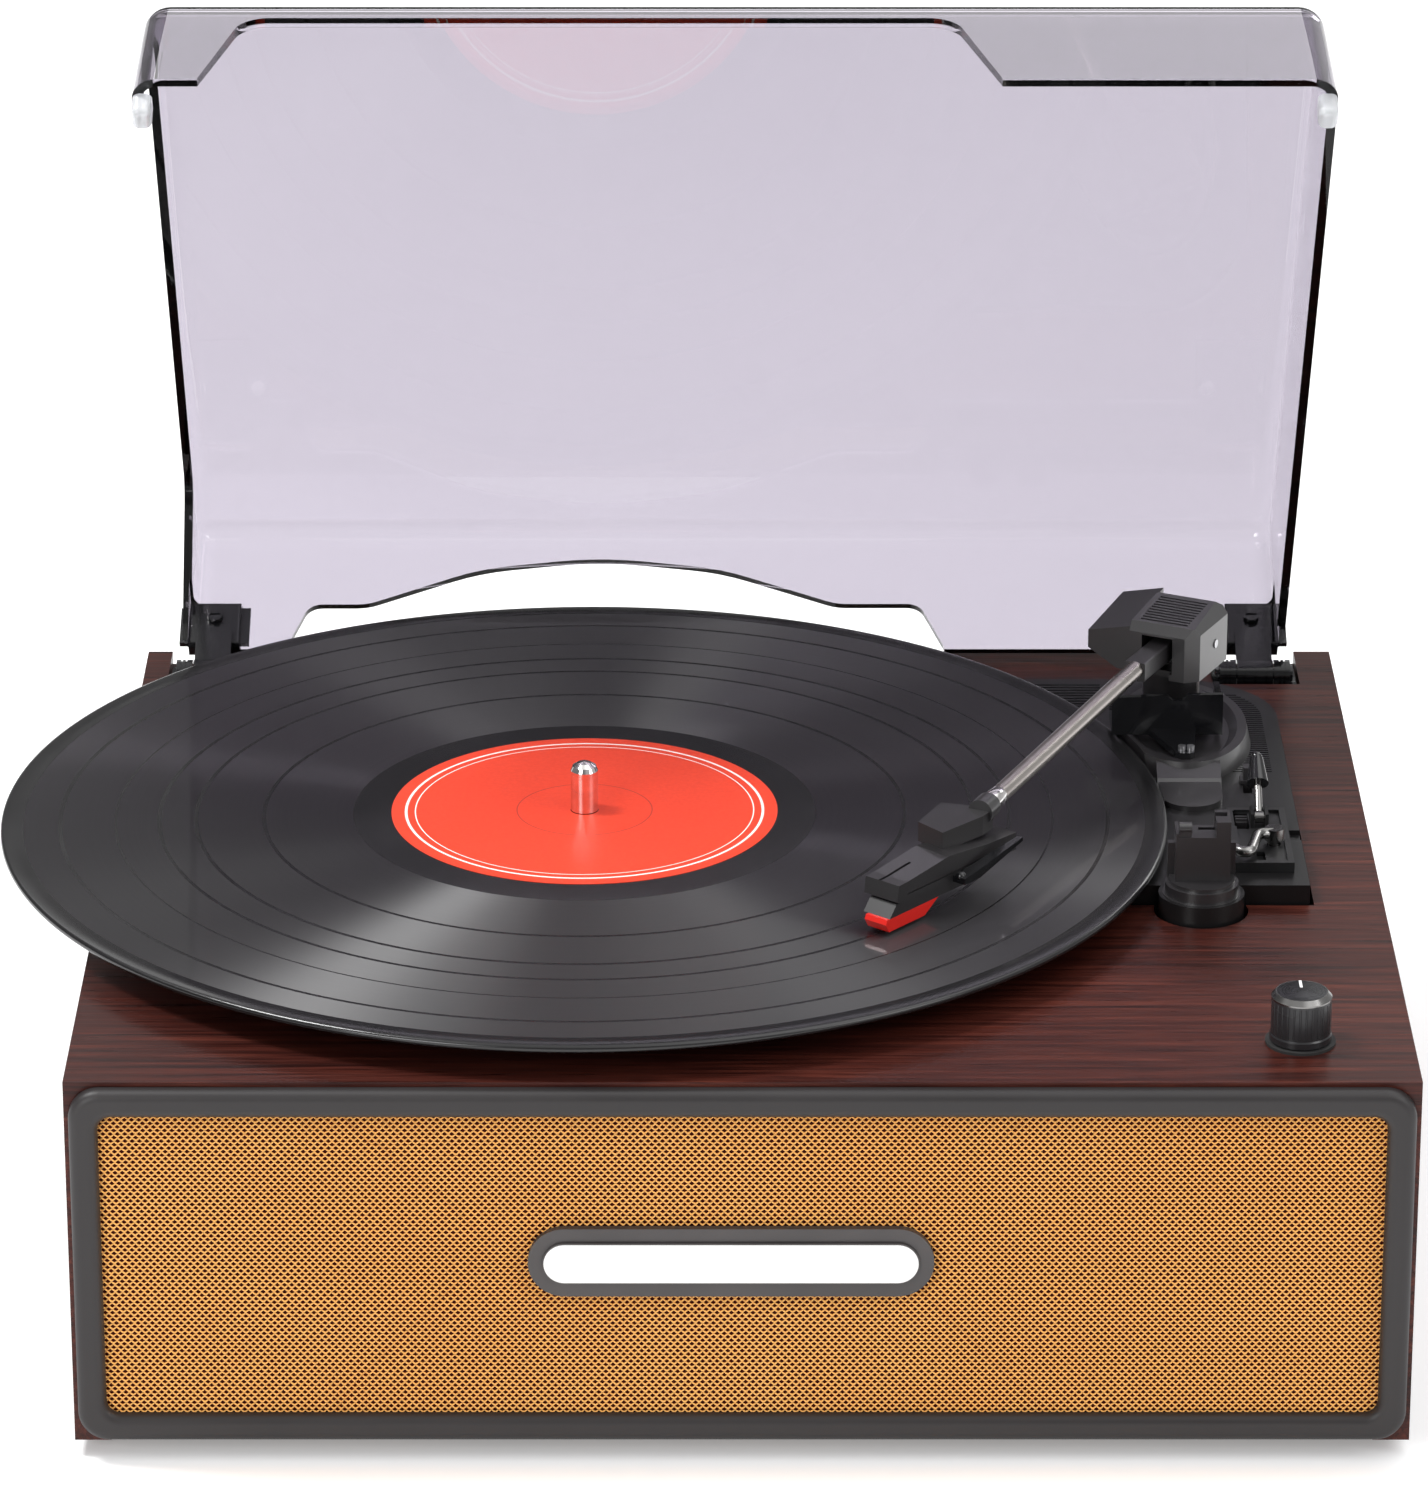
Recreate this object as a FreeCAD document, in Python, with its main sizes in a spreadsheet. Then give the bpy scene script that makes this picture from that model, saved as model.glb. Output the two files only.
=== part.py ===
import FreeCAD, Part
import os, math, re
from FreeCAD import Vector, Placement, Rotation

# Table-top record player: wooden cabinet with a cloth-covered speaker front, a black deck plate with
# platter and tonearm, and a hinged clear cover that stands open.
# Lengths in mm.  Working frame: X to the right, Y to the back, Z up, x = y = 0 at the middle of the
# cabinet and z = 0 at the cabinet's lower edge.  Every sub-part's Placement adds the offset
# (originX, originY, footHeight), which puts the row's origin under the middle of the whole object.

os.makedirs("parts", exist_ok=True)
doc = FreeCAD.newDocument("record_player")
sheet = doc.addObject("Spreadsheet::Sheet", "Sizes")
SIZES = [
    # name, value
    ("originX", 13.85), ("originY", -14.94), ("footHeight", 4.0),
    ("cabWidth", 327.0), ("cabDepth", 290.0), ("cabHeight", 96.0), ("boardThick", 9.0), ("backThick", 5.0),
    ("frameProud", 4.0), ("frameBand", 7.0), ("frameReveal", 1.2), ("clothThick", 1.2),
    ("recordRadius", 150.8), ("recordThick", 1.9), ("recordTop", 9.0), ("labelRadius", 50.0),
    ("platterX", -40.4), ("platterY", 6.6), ("platterRadius", 95.0), ("matThick", 1.1), ("spindleRadius", 3.55),
    ("deckTop", 5.0), ("deckRight", 144.6), ("deckFront", -34.5), ("deckRear", 111.0), ("deckCorner", 28.0),
    ("deckSkirt", 9.0), ("wellRadius", 98.0), ("wellFloor", -7.5),
    ("armX", 115.2), ("armY", 73.4), ("armYaw", 26.0), ("armAxisRise", 30.5), ("tubeRadius", 2.4),
    ("restX", 116.7), ("restY", -38.8), ("restRadius", 9.3),
    ("knobX", 135.8), ("knobY", -121.0), ("knobRadius", 7.35), ("knobTall", 13.5), ("washerRadius", 8.6),
    ("coverWidth", 303.7), ("coverMidX", -1.6), ("coverLength", 233.5), ("coverDepth", 47.3), ("coverWall", 2.4),
    ("coverSlant", 22.5), ("coverLean", 5.4), ("coverOpen", 59.0), ("hingeY", 127.0), ("hingeRise", 0.5),
    ("coverRearY", 131.7), ("coverRimRise", 11.2),
    ("speakerX", 104.0), ("speakerZ", 47.5), ("speakerHole", 27.0),
    ("hingeX", 141.6),
]
CELL = {}
for row, (name, value) in enumerate(SIZES, start=1):
    sheet.set("A%d" % row, name)
    sheet.set("B%d" % row, str(value))
    sheet.setAlias("B%d" % row, name)
    CELL[name] = value
doc.recompute()
S = type("S", (), CELL)          # plain values, for the shapes that are built from functions


def bind(text):
    """An expression with each size name pointed at the sheet."""
    text = str(text)
    return re.sub(r"\b[A-Za-z][A-Za-z0-9]*\b", lambda m: "Sizes." + m.group(0) if m.group(0) in CELL else m.group(0), text)


def num(text):
    """The present value of such an expression."""
    return solve_plain(str(text))


def solve_plain(text):
    for key in sorted(CELL, key=len, reverse=True):
        text = re.sub(r"\b%s\b" % key, "(%r)" % CELL[key], text)
    tokens = re.findall(r"[0-9.]+(?:e-?[0-9]+)?|[()+*/-]", text.replace(" ", ""))
    pos = [0]

    def factor():
        tok = tokens[pos[0]]
        pos[0] += 1
        if tok == "(":
            value = expr()
            pos[0] += 1
            return value
        if tok == "-":
            return -factor()
        if tok == "+":
            return factor()
        return float(tok)

    def term():
        value = factor()
        while pos[0] < len(tokens) and tokens[pos[0]] in "*/":
            op = tokens[pos[0]]
            pos[0] += 1
            other = factor()
            value = value * other if op == "*" else value / other
        return value

    def expr():
        value = term()
        while pos[0] < len(tokens) and tokens[pos[0]] in "+-":
            op = tokens[pos[0]]
            pos[0] += 1
            other = term()
            value = value + other if op == "+" else value - other
        return value

    return expr()


COUNT = [0]
NODES = []          # (node name, document object)
SCREWS = []         # every plain fixing screw, gathered into one node


def fresh(stem):
    COUNT[0] += 1
    return "%s%d" % (stem, COUNT[0])


def place(obj, x, y, z, rot=None):
    obj.Placement = Placement(Vector(num(x), num(y), num(z)), rot or Rotation())
    obj.setExpression("Placement.Base.x", bind(x))
    obj.setExpression("Placement.Base.y", bind(y))
    obj.setExpression("Placement.Base.z", bind(z))
    return obj


def bx(x0, x1, y0, y1, z0, z1):
    b = doc.addObject("Part::Box", fresh("Block"))
    b.setExpression("Length", bind("(%s)-(%s)" % (x1, x0)))
    b.setExpression("Width", bind("(%s)-(%s)" % (y1, y0)))
    b.setExpression("Height", bind("(%s)-(%s)" % (z1, z0)))
    return place(b, x0, y0, z0)


ROT = {"Z": Rotation(), "X": Rotation(Vector(0, 1, 0), 90), "Y": Rotation(Vector(1, 0, 0), -90)}


def cy(r, x, y, z, height, axis="Z"):
    """Cylinder from (x, y, z), running along +X, +Y or +Z."""
    c = doc.addObject("Part::Cylinder", fresh("Round"))
    c.setExpression("Radius", bind(r))
    c.setExpression("Height", bind(height))
    return place(c, x, y, z, ROT[axis])


def cone(r1, r2, x, y, z, height, axis="Z"):
    c = doc.addObject("Part::Cone", fresh("Taper"))
    c.setExpression("Radius1", bind(r1))
    c.setExpression("Radius2", bind(r2))
    c.setExpression("Height", bind(height))
    return place(c, x, y, z, ROT[axis])


def fuse(*objs):
    objs = list(objs)
    if len(objs) == 1:
        return objs[0]
    f = doc.addObject("Part::MultiFuse", fresh("Fuse"))
    f.Shapes = objs
    return f


def cut(base, *tools):
    c = doc.addObject("Part::Cut", fresh("Cut"))
    c.Base = base
    c.Tool = fuse(*tools)
    return c


def common(a, b):
    c = doc.addObject("Part::MultiCommon", fresh("Common"))
    c.Shapes = [a, b]
    return c


def group(*objs):
    """Separate solids of one node, such as a set of screws."""
    g = doc.addObject("Part::Compound", fresh("Set"))
    g.Links = list(objs)
    return g


def feature(shape):
    f = doc.addObject("Part::Feature", fresh("Form"))
    f.Shape = shape
    return f


def node(name, obj):
    """Gives a finished object its node name and the shared offset."""
    if obj.TypeId in ("Part::Box", "Part::Cylinder", "Part::Cone"):
        obj = group(obj)
    obj.Label = name
    offset = Placement(Vector(S.originX, S.originY, S.footHeight), Rotation())
    if obj.Placement.isIdentity():
        obj.Placement = offset
        obj.setExpression("Placement.Base.x", "Sizes.originX")
        obj.setExpression("Placement.Base.y", "Sizes.originY")
        obj.setExpression("Placement.Base.z", "Sizes.footHeight")
    else:
        obj.Placement = offset.multiply(obj.Placement)
    NODES.append((name, obj))
    return obj


# ---------------------------------------------------------------- PartDesign helpers

def body_of(name):
    return doc.addObject("PartDesign::Body", fresh("Body_" + name))


def plane_of(body, role):
    for f in body.Origin.OriginFeatures:
        if f.Role == role:
            return f
    raise RuntimeError("no plane " + role)


def sketch_on(body, role, offset="0"):
    sk = body.newObject("Sketcher::SketchObject", fresh("Sketch"))
    sk.AttachmentSupport = [(plane_of(body, role), "")]
    sk.MapMode = "FlatFace"
    if offset != "0":
        sk.AttachmentOffset = Placement(Vector(0, 0, num(offset)), Rotation())
        sk.setExpression("AttachmentOffset.Base.z", bind(offset))
    return sk


import Sketcher


def sk_rect(sk, x0, x1, y0, y1):
    a, b, c, d = num(x0), num(x1), num(y0), num(y1)
    n = sk.GeometryCount
    pts = [(a, c), (b, c), (b, d), (a, d)]
    for i in range(4):
        p, q = pts[i], pts[(i + 1) % 4]
        sk.addGeometry(Part.LineSegment(Vector(p[0], p[1], 0), Vector(q[0], q[1], 0)))
    for i in range(4):
        sk.addConstraint(Sketcher.Constraint("Coincident", n + i, 2, n + (i + 1) % 4, 1))
    sk.addConstraint(Sketcher.Constraint("Horizontal", n))
    sk.addConstraint(Sketcher.Constraint("Horizontal", n + 2))
    sk.addConstraint(Sketcher.Constraint("Vertical", n + 1))
    sk.addConstraint(Sketcher.Constraint("Vertical", n + 3))
    for kind, expr, geo, pos in (("DistanceX", x0, n, 1), ("DistanceY", y0, n, 1), ("DistanceX", x1, n + 2, 1), ("DistanceY", y1, n + 2, 1)):
        i = sk.addConstraint(Sketcher.Constraint(kind, -1, 1, geo, pos, num(expr)))
        sk.setExpression("Constraints[%d]" % i, bind(expr))


def sk_circle(sk, x, y, r):
    n = sk.addGeometry(Part.Circle(Vector(num(x), num(y), 0), Vector(0, 0, 1), num(r)))
    i = sk.addConstraint(Sketcher.Constraint("Radius", n, num(r)))
    sk.setExpression("Constraints[%d]" % i, bind(r))
    for kind, expr in (("DistanceX", x), ("DistanceY", y)):
        i = sk.addConstraint(Sketcher.Constraint(kind, -1, 1, n, 3, num(expr)))
        sk.setExpression("Constraints[%d]" % i, bind(expr))


def sk_loop(sk, pts):
    """Closed outline of straight lines, with every corner held by its coordinates."""
    n = sk.GeometryCount
    vals = [(num(x), num(y)) for x, y in pts]
    for i in range(len(vals)):
        p, q = vals[i], vals[(i + 1) % len(vals)]
        sk.addGeometry(Part.LineSegment(Vector(p[0], p[1], 0), Vector(q[0], q[1], 0)))
    for i in range(len(vals)):
        sk.addConstraint(Sketcher.Constraint("Coincident", n + i, 2, n + (i + 1) % len(vals), 1))
    for i, (x, y) in enumerate(pts):
        for kind, expr, v in (("DistanceX", x, vals[i][0]), ("DistanceY", y, vals[i][1])):
            if abs(v) < 1e-9:
                sk.addConstraint(Sketcher.Constraint("PointOnObject", n + i, 1, -2 if kind == "DistanceX" else -1))
                continue
            c = sk.addConstraint(Sketcher.Constraint(kind, -1, 1, n + i, 1, v))
            sk.setExpression("Constraints[%d]" % c, bind(expr))


def pad(body, sk, length, reverse=False):
    p = body.newObject("PartDesign::Pad", fresh("Pad"))
    p.Profile = sk
    p.Reversed = reverse
    p.Length = num(length)
    p.setExpression("Length", bind(length))
    body.Tip = p
    return p


def pocket(body, sk, length=None, reverse=False):
    """Cuts a sketch through the body, or to a depth, and checks that it took material away."""
    doc.recompute()
    before = body.Shape.Volume
    p = body.newObject("PartDesign::Pocket", fresh("Pocket"))
    p.Profile = sk
    p.Reversed = reverse
    if length is None:
        p.Type = "ThroughAll"
        p.Midplane = True
    else:
        p.Length = num(length)
        p.setExpression("Length", bind(length))
    body.Tip = p
    doc.recompute()
    if body.Shape.Volume > before - 0.5:
        raise RuntimeError("a pocket cut nothing in " + body.Label)
    return p


def turned(name, loop):
    """Body of revolution about Z from an outline of (radius, height) points."""
    b = body_of(name)
    sk = sketch_on(b, "XZ_Plane")
    sk_loop(sk, loop)
    r = b.newObject("PartDesign::Revolution", fresh("Turn"))
    r.Profile = sk
    r.ReferenceAxis = (sk, ["V_Axis"])
    r.Angle = 360
    b.Tip = r
    return b


def seat(body, x, y, z="0"):
    """Puts a turned body on its own axis inside the shared offset."""
    g = doc.addObject("Part::Compound", fresh("Seat"))
    place(body, x, y, z)
    g.Links = [body]
    return g


H = S.cabHeight
W2 = "cabWidth/2"
D2 = "cabDepth/2"

# ================================================================ cabinet
# Top board: between nothing, lies over the side boards; one opening for the deck plate, one round
# relief for the arm rest, a bore for the volume control and two pockets for the hinges.
GAP = 1.1


def deck_outline(grow):
    """Flat outline of the deck plate, grown by an amount: a round part about the platter joined to a
    right-hand part with a large rear corner and a round lobe that carries the arm rest."""
    r = S.wellRadius + 4 + grow
    disc = Part.Face(Part.Wire(Part.makeCircle(r, Vector(S.platterX, S.platterY, 0))))
    x1, y0, y1 = S.deckRight + grow, S.deckFront - grow, S.deckRear + grow
    x0 = S.platterX + 20
    c = S.deckCorner + grow
    m = math.sin(math.radians(45)) * c
    edges = [
        Part.LineSegment(Vector(x0, y0, 0), Vector(x1, y0, 0)).toShape(),
        Part.LineSegment(Vector(x1, y0, 0), Vector(x1, y1 - c, 0)).toShape(),
        Part.Arc(Vector(x1, y1 - c, 0), Vector(x1 - c + m, y1 - c + m, 0), Vector(x1 - c, y1, 0)).toShape(),
        Part.LineSegment(Vector(x1 - c, y1, 0), Vector(x0, y1, 0)).toShape(),
        Part.LineSegment(Vector(x0, y1, 0), Vector(x0, y0, 0)).toShape(),
    ]
    right = Part.Face(Part.Wire(edges))
    lobe = Part.Face(Part.Wire(Part.makeCircle(S.restRadius + 1.6 + grow, Vector(S.restX, S.restY, 0))))
    return disc.fuse([right, lobe]).removeSplitter()


def prism(face, z0, z1):
    f = face.copy()
    f.translate(Vector(0, 0, z0))
    return f.extrude(Vector(0, 0, z1 - z0))


top = bx("-" + W2, W2, "-" + D2, D2, "cabHeight-boardThick", "cabHeight")
opening = feature(prism(deck_outline(GAP), H - 20, H + 5))
pot_hole = cy("3.6", "knobX", "knobY", "cabHeight-20", "30")
hinge_cuts = [bx("%s-12" % x, "%s+12" % x, "hingeY-7", D2 + "+1", "cabHeight-3.6", "cabHeight+1") for x in ("hingeX", "(2*coverMidX-hingeX)")]
pot_relief = cy("11", "knobX", "knobY", "cabHeight-boardThick-1", "boardThick-3+1")
node("cabinet_top_board", cut(top, opening, pot_hole, pot_relief, *hinge_cuts))

for side, x0, x1 in (("left", "-" + W2, "-" + W2 + "+boardThick"), ("right", W2 + "-boardThick", W2)):
    b = body_of("side_" + side)
    sk = sketch_on(b, "XY_Plane")
    sk_rect(sk, x0, x1, "-" + D2, D2)
    pad(b, sk, "cabHeight-boardThick")
    node("cabinet_%s_board" % side, b)

b = body_of("floor")
sk = sketch_on(b, "XY_Plane")
sk_rect(sk, "-" + W2 + "+boardThick", W2 + "-boardThick", "-" + D2 + "+10", D2 + "-backThick")
pad(b, sk, "6")
sk = sketch_on(b, "XY_Plane")
for i in range(7):
    sk_rect(sk, "-36", "36", "%d" % (-60 + 20 * i), "%d" % (-55 + 20 * i))
feet = [(sx * 128, sy * 108 + (4 if sy < 0 else 0)) for sx in (-1, 1) for sy in (-1, 1)]
for x, y in feet:
    sk_circle(sk, x, y, "1.3")
pocket(b, sk)
node("cabinet_bottom_board", b)

back = bx("-" + W2 + "+boardThick", W2 + "-boardThick", D2 + "-backThick", D2, "0", "cabHeight-boardThick")
node("cabinet_rear_board", cut(back, bx("62", "128", D2 + "-20", D2 + "+20", "24", "56")))

# Front: baffle with two openings, cloth over it, and a bulged frame that holds the cloth.
baffle = bx("-" + W2 + "+boardThick", W2 + "-boardThick", "-" + D2 + "+1.4", "-" + D2 + "+9.4", "0", "cabHeight-boardThick")
holes = [cy("speakerHole", x, "-" + D2 + "-5", "speakerZ", "30", "Y") for x in ("speakerX", "-speakerX")]
node("speaker_baffle", cut(baffle, *holes))

FX, FZ0, FZ1 = "cabWidth/2-frameReveal", "frameReveal", "cabHeight-frameReveal"


def rounded_plate(x0, x1, z0, z1, r, y0, y1):
    """Upright plate with rounded corners, between two depths."""
    pts = []
    for cx, cz, a0 in ((x1 - r, z0 + r, 270), (x1 - r, z1 - r, 0), (x0 + r, z1 - r, 90), (x0 + r, z0 + r, 180)):
        arc = [Vector(cx + r * math.cos(math.radians(a)), y0, cz + r * math.sin(math.radians(a))) for a in (a0, a0 + 45, a0 + 90)]
        pts.append(arc)
    edges = []
    for i, arc in enumerate(pts):
        edges.append(Part.Arc(*arc).toShape())
        nxt = pts[(i + 1) % 4][0]
        edges.append(Part.LineSegment(arc[2], nxt).toShape())
    return Part.Face(Part.Wire(edges)).extrude(Vector(0, y1 - y0, 0))


fx, fz0, fz1 = S.cabWidth / 2 - S.frameReveal, S.frameReveal, H - S.frameReveal
yf = -S.cabDepth / 2
outer = rounded_plate(-fx, fx, fz0, fz1, 7.5, yf - S.frameProud, yf)
hole = rounded_plate(-fx + S.frameBand, fx - S.frameBand, fz0 + S.frameBand, fz1 - S.frameBand, 3.5, yf - S.frameProud - 1, yf + 1)
step = rounded_plate(-fx + S.frameBand - 2.2, fx - S.frameBand + 2.2, fz0 + S.frameBand - 2.2, fz1 - S.frameBand + 2.2, 4.0, yf - S.clothThick, yf + 1)
ring = outer.cut(hole)
front_edges = [e for e in ring.Edges if abs(e.BoundBox.YMin - (yf - S.frameProud)) < 1e-6 and abs(e.BoundBox.YMax - (yf - S.frameProud)) < 1e-6]
ring = ring.makeFillet(2.4, front_edges)
node("grille_frame", feature(ring.cut(step)))

cloth = rounded_plate(-fx + S.frameBand - 2.0, fx - S.frameBand + 2.0, fz0 + S.frameBand - 2.0, fz1 - S.frameBand + 2.0, 3.8, yf - S.clothThick, yf)
node("grille_cloth", feature(cloth))

# Plain badge plate on the cloth, with no lettering.
badge = rounded_plate(-52, 46.5, 40.5, 58.5, 8.9, yf - S.clothThick - 2.0, yf - S.clothThick)
inlay = rounded_plate(-48.5, 43.0, 44.0, 55.0, 5.4, yf - S.clothThick - 2.7, yf - S.clothThick - 2.0)
node("grille_badge", feature(Part.makeCompound([badge, inlay])))

node("rubber_feet", group(*[cut(cone("8.4", "9.8", x, y, "-footHeight", "footHeight"), cy("3.6", x, y, "-footHeight-1", "2.4+1"), cy("1.35", x, y, "-footHeight", "footHeight+1")) for x, y in feet]))
SCREWS += [fuse(cy("3.1", x, y, "-footHeight+1.4", "1.0"), cy("1.3", x, y, "-footHeight+2.3", "6.5")) for x, y in feet]

# ================================================================ deck plate and platter
PX, PY = "platterX", "platterY"
deck_top = H + S.deckTop
shell = prism(deck_outline(0), H - S.deckSkirt, deck_top)
inside = prism(deck_outline(-2.2), H - S.deckSkirt - 1, deck_top - 2.6)
well = Part.makeCylinder(S.wellRadius, 60, Vector(S.platterX, S.platterY, H + S.wellFloor))
well_cup = Part.makeCylinder(S.wellRadius + 2.0, deck_top - 1 - (H + S.wellFloor - 2.2), Vector(S.platterX, S.platterY, H + S.wellFloor - 2.2))
deck = shell.cut(inside).fuse(well_cup).cut(well)
# openings in the plate: bearing, motor shaft, tonearm pivot, lever slots
MOTOR_X, MOTOR_Y = S.platterX - 52.0, S.platterY + 54.0
for x, y, r in ((S.platterX, S.platterY, 6.0), (MOTOR_X, MOTOR_Y, 7.5), (S.armX, S.armY, 6.6)):
    deck = deck.cut(Part.makeCylinder(r, 60, Vector(x, y, H - 30)))
slots = [(127.6, 131.4, -1.5, 9.0), (131.9, 134.3, 28.0, 41.0)]
for x0, x1, y0, y1 in slots:
    deck = deck.cut(Part.makeBox(x1 - x0, y1 - y0, 30, Vector(x0, y0, H - 15)))
deck = deck.cut(Part.makeCylinder(1.85, 40, Vector(137.0, -11.5, H - 25)))
# notch in the right edge
deck = deck.cut(Part.makeBox(6, 6.5, 3.0, Vector(S.deckRight - 3.6, -4.2, deck_top - 1.2)))
# ribbed fields: fine grooves across the rear right corner and beside the platter
ribs = []
y = 16.0
while y < 100.0:
    x1 = S.deckRight - 4.2
    if y > S.deckRear - S.deckCorner:
        dy = y - (S.deckRear - S.deckCorner)
        x1 = S.deckRight - S.deckCorner + math.sqrt(max((S.deckCorner - 4.2) ** 2 - dy * dy, 1.0))
    x0 = 127.5 if y < 43 else 117.0
    if not 19.0 <= y < 43.0:
        ribs.append(Part.makeBox(x1 - x0, 0.55, 1.0, Vector(x0, y, deck_top - 0.45)))
    y += 1.5
y = 88.0
while y < 107.5:
    ribs.append(Part.makeBox(38.0, 0.8, 1.0, Vector(60.0, y, deck_top - 0.5)))
    y += 2.0
deck = deck.cut(Part.makeCompound(ribs))
node("deck_plate", feature(deck))

clamps = []
for x, y in [(-138.0, 6.6), (-40.4, 105.8), (-40.4, -92.6)]:
    clamps.append(cut(bx(x - 6, x + 6, y - 6, y + 6, "cabHeight-deckSkirt-3", "cabHeight-deckSkirt"), cy("wellRadius+2.4", PX, PY, "cabHeight-60", "90")))
    SCREWS.append(cy("2.6", x, y, "cabHeight-deckSkirt-5", "2.0"))
node("deck_clamps", group(*clamps))

# Bearing sleeve fixed in the deck plate, and the spindle that turns in it.
sleeve = cut(fuse(cy("5.95", PX, PY, "cabHeight-26", "21"), cy("9", PX, PY, "cabHeight+wellFloor-4.2", "2")), cy("3.21", PX, PY, "cabHeight-27", "40"))
node("platter_bearing", sleeve)
b = turned("spindle", [("0", "-24"), ("spindleRadius-0.4", "-24"), ("spindleRadius-0.4", "recordTop+0.3"), ("spindleRadius", "recordTop+0.3"), ("spindleRadius", "recordTop+11.2"), ("spindleRadius*0.86", "recordTop+12.4"), ("spindleRadius*0.52", "recordTop+13.2"), ("0", "recordTop+13.5")])
node("spindle", seat(b, PX, PY, "cabHeight"))
b = turned("platter", [("spindleRadius-0.38", "-4.2"), ("9", "-4.2"), ("9", "2.6"), ("58", "2.6"), ("58", "-3.0"), ("60", "-3.0"), ("60", "2.6"), ("platterRadius-3", "2.6"),
                       ("platterRadius-3", "-3.6"), ("platterRadius", "-3.6"), ("platterRadius", "4.6"), ("platterRadius-1.2", "recordTop-recordThick-matThick"), ("spindleRadius-0.38", "recordTop-recordThick-matThick")])
node("platter", seat(b, PX, PY, "cabHeight"))
b = turned("mat", [("spindleRadius-0.38", "recordTop-recordThick-matThick"), ("platterRadius-1.5", "recordTop-recordThick-matThick"), ("platterRadius-1.5", "recordTop-recordThick"), ("spindleRadius-0.38", "recordTop-recordThick")])
node("platter_mat", seat(b, PX, PY, "cabHeight"))
# Record: thick rim and label land, thinner grooved band between them.
RT = "recordTop"
b = turned("record", [("spindleRadius", RT + "-recordThick"), ("recordRadius-0.6", RT + "-recordThick"), ("recordRadius", RT + "-recordThick+0.5"), ("recordRadius", RT + "-0.5"), ("recordRadius-0.6", RT),
                      ("recordRadius-4.6", RT), ("recordRadius-5.2", RT + "-0.25"), ("60", RT + "-0.25"), ("58.6", RT + "-0.1"), ("labelRadius+2", RT + "-0.1"), ("labelRadius+0.6", RT), ("spindleRadius", RT)])
node("record", seat(b, PX, PY, "cabHeight"))
b = turned("label", [("spindleRadius+0.1", RT), ("labelRadius", RT), ("labelRadius", RT + "+0.12"), ("spindleRadius+0.1", RT + "+0.12")])
node("record_label", seat(b, PX, PY, "cabHeight"))

# Motor under the deck plate, its pulley inside the platter's drive ring, and the belt.
mz = "cabHeight+wellFloor-2.2-24"
motor = fuse(cy("18", MOTOR_X, MOTOR_Y, mz, "20"), bx(MOTOR_X - 27, MOTOR_X + 27, MOTOR_Y - 5, MOTOR_Y + 5, mz + "+19", mz + "+21"))
node("drive_motor", cut(motor, cy("2.2", MOTOR_X, MOTOR_Y, mz + "+4", "30")))
pulley = fuse(cy("1.6", MOTOR_X, MOTOR_Y, mz + "+6", "26.6"), cy("6.6", MOTOR_X, MOTOR_Y, "cabHeight-4.2", "0.8"), cy("5.4", MOTOR_X, MOTOR_Y, "cabHeight-3.5", "5.5"))
node("motor_pulley", pulley)


def belt_face(r1, r2, c1, c2):
    """Band outline round two circles joined by their outer tangents."""
    d = (c2 - c1).Length
    phi = math.atan2(c2.y - c1.y, c2.x - c1.x)
    beta = math.acos((r1 - r2) / d)
    p = lambda c, r, a: c + Vector(r * math.cos(a), r * math.sin(a), 0)
    a1, a2 = phi + beta, phi - beta
    edges = [
        Part.Arc(p(c1, r1, a1), p(c1, r1, phi + math.pi), p(c1, r1, a2 + 2 * math.pi)).toShape(),
        Part.LineSegment(p(c1, r1, a2), p(c2, r2, a2)).toShape(),
        Part.Arc(p(c2, r2, a2), p(c2, r2, phi), p(c2, r2, a1)).toShape(),
        Part.LineSegment(p(c2, r2, a1), p(c1, r1, a1)).toShape(),
    ]
    return Part.Face(Part.Wire(Part.__sortEdges__(edges)))


c1, c2 = Vector(S.platterX, S.platterY, 0), Vector(MOTOR_X, MOTOR_Y, 0)
band = prism(belt_face(61.1, 6.5, c1, c2), H - 2.6, H + 1.4).cut(prism(belt_face(60.4, 5.8, c1, c2), H - 3.6, H + 2.4))
node("drive_belt", feature(band))

# ================================================================ tonearm base and rest
AX, AY = "armX", "armY"


def ellipse_face(cx, cy_, rx, ry):
    e = Part.Ellipse(Vector(0, 0, 0), max(rx, ry), min(rx, ry)).toShape()
    f = Part.Face(Part.Wire(e))
    if ry > rx:
        f.rotate(Vector(0, 0, 0), Vector(0, 0, 1), 90)
    f.translate(Vector(cx, cy_, 0))
    return f


def oval_loft(cx, cy_, rx, ry, z0, rx2, ry2, z1):
    a, b2 = ellipse_face(cx, cy_, rx, ry).OuterWire, ellipse_face(cx, cy_, rx2, ry2).OuterWire
    a.translate(Vector(0, 0, z0))
    b2.translate(Vector(0, 0, z1))
    return Part.makeLoft([a, b2], True)


CX, CY = 117.8, 66.0
collar = oval_loft(CX, CY, 18.4, 30.5, deck_top, 17.2, 29.3, deck_top + 5.2)
dish = oval_loft(CX, CY, 12.5, 23.0, deck_top + 3.2, 14.8, 26.5, deck_top + 5.3)
collar = collar.cut(dish)
core = Part.makeCylinder(10.4, 9.0, Vector(S.armX, S.armY, deck_top + 0.1))
wedge = Part.Face(Part.makePolygon([Vector(109.5, 30.5, deck_top), Vector(109.5, 46, deck_top), Vector(109.5, 46, deck_top + 4.4), Vector(109.5, 38.5, deck_top + 4.4), Vector(109.5, 33.0, deck_top + 2.2), Vector(109.5, 30.5, deck_top)])).extrude(Vector(16.8, 0, 0))
tongue = Part.makeBox(16.2, 18.0, 1.5, Vector(109.8, 23.0, deck_top)).fuse(Part.makeCylinder(8.1, 1.5, Vector(117.9, 23.0, deck_top)))
arm_base = collar.fuse([core, wedge, tongue]).cut(Part.makeCylinder(6.6, 60, Vector(S.armX, S.armY, H - 20)))
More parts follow.
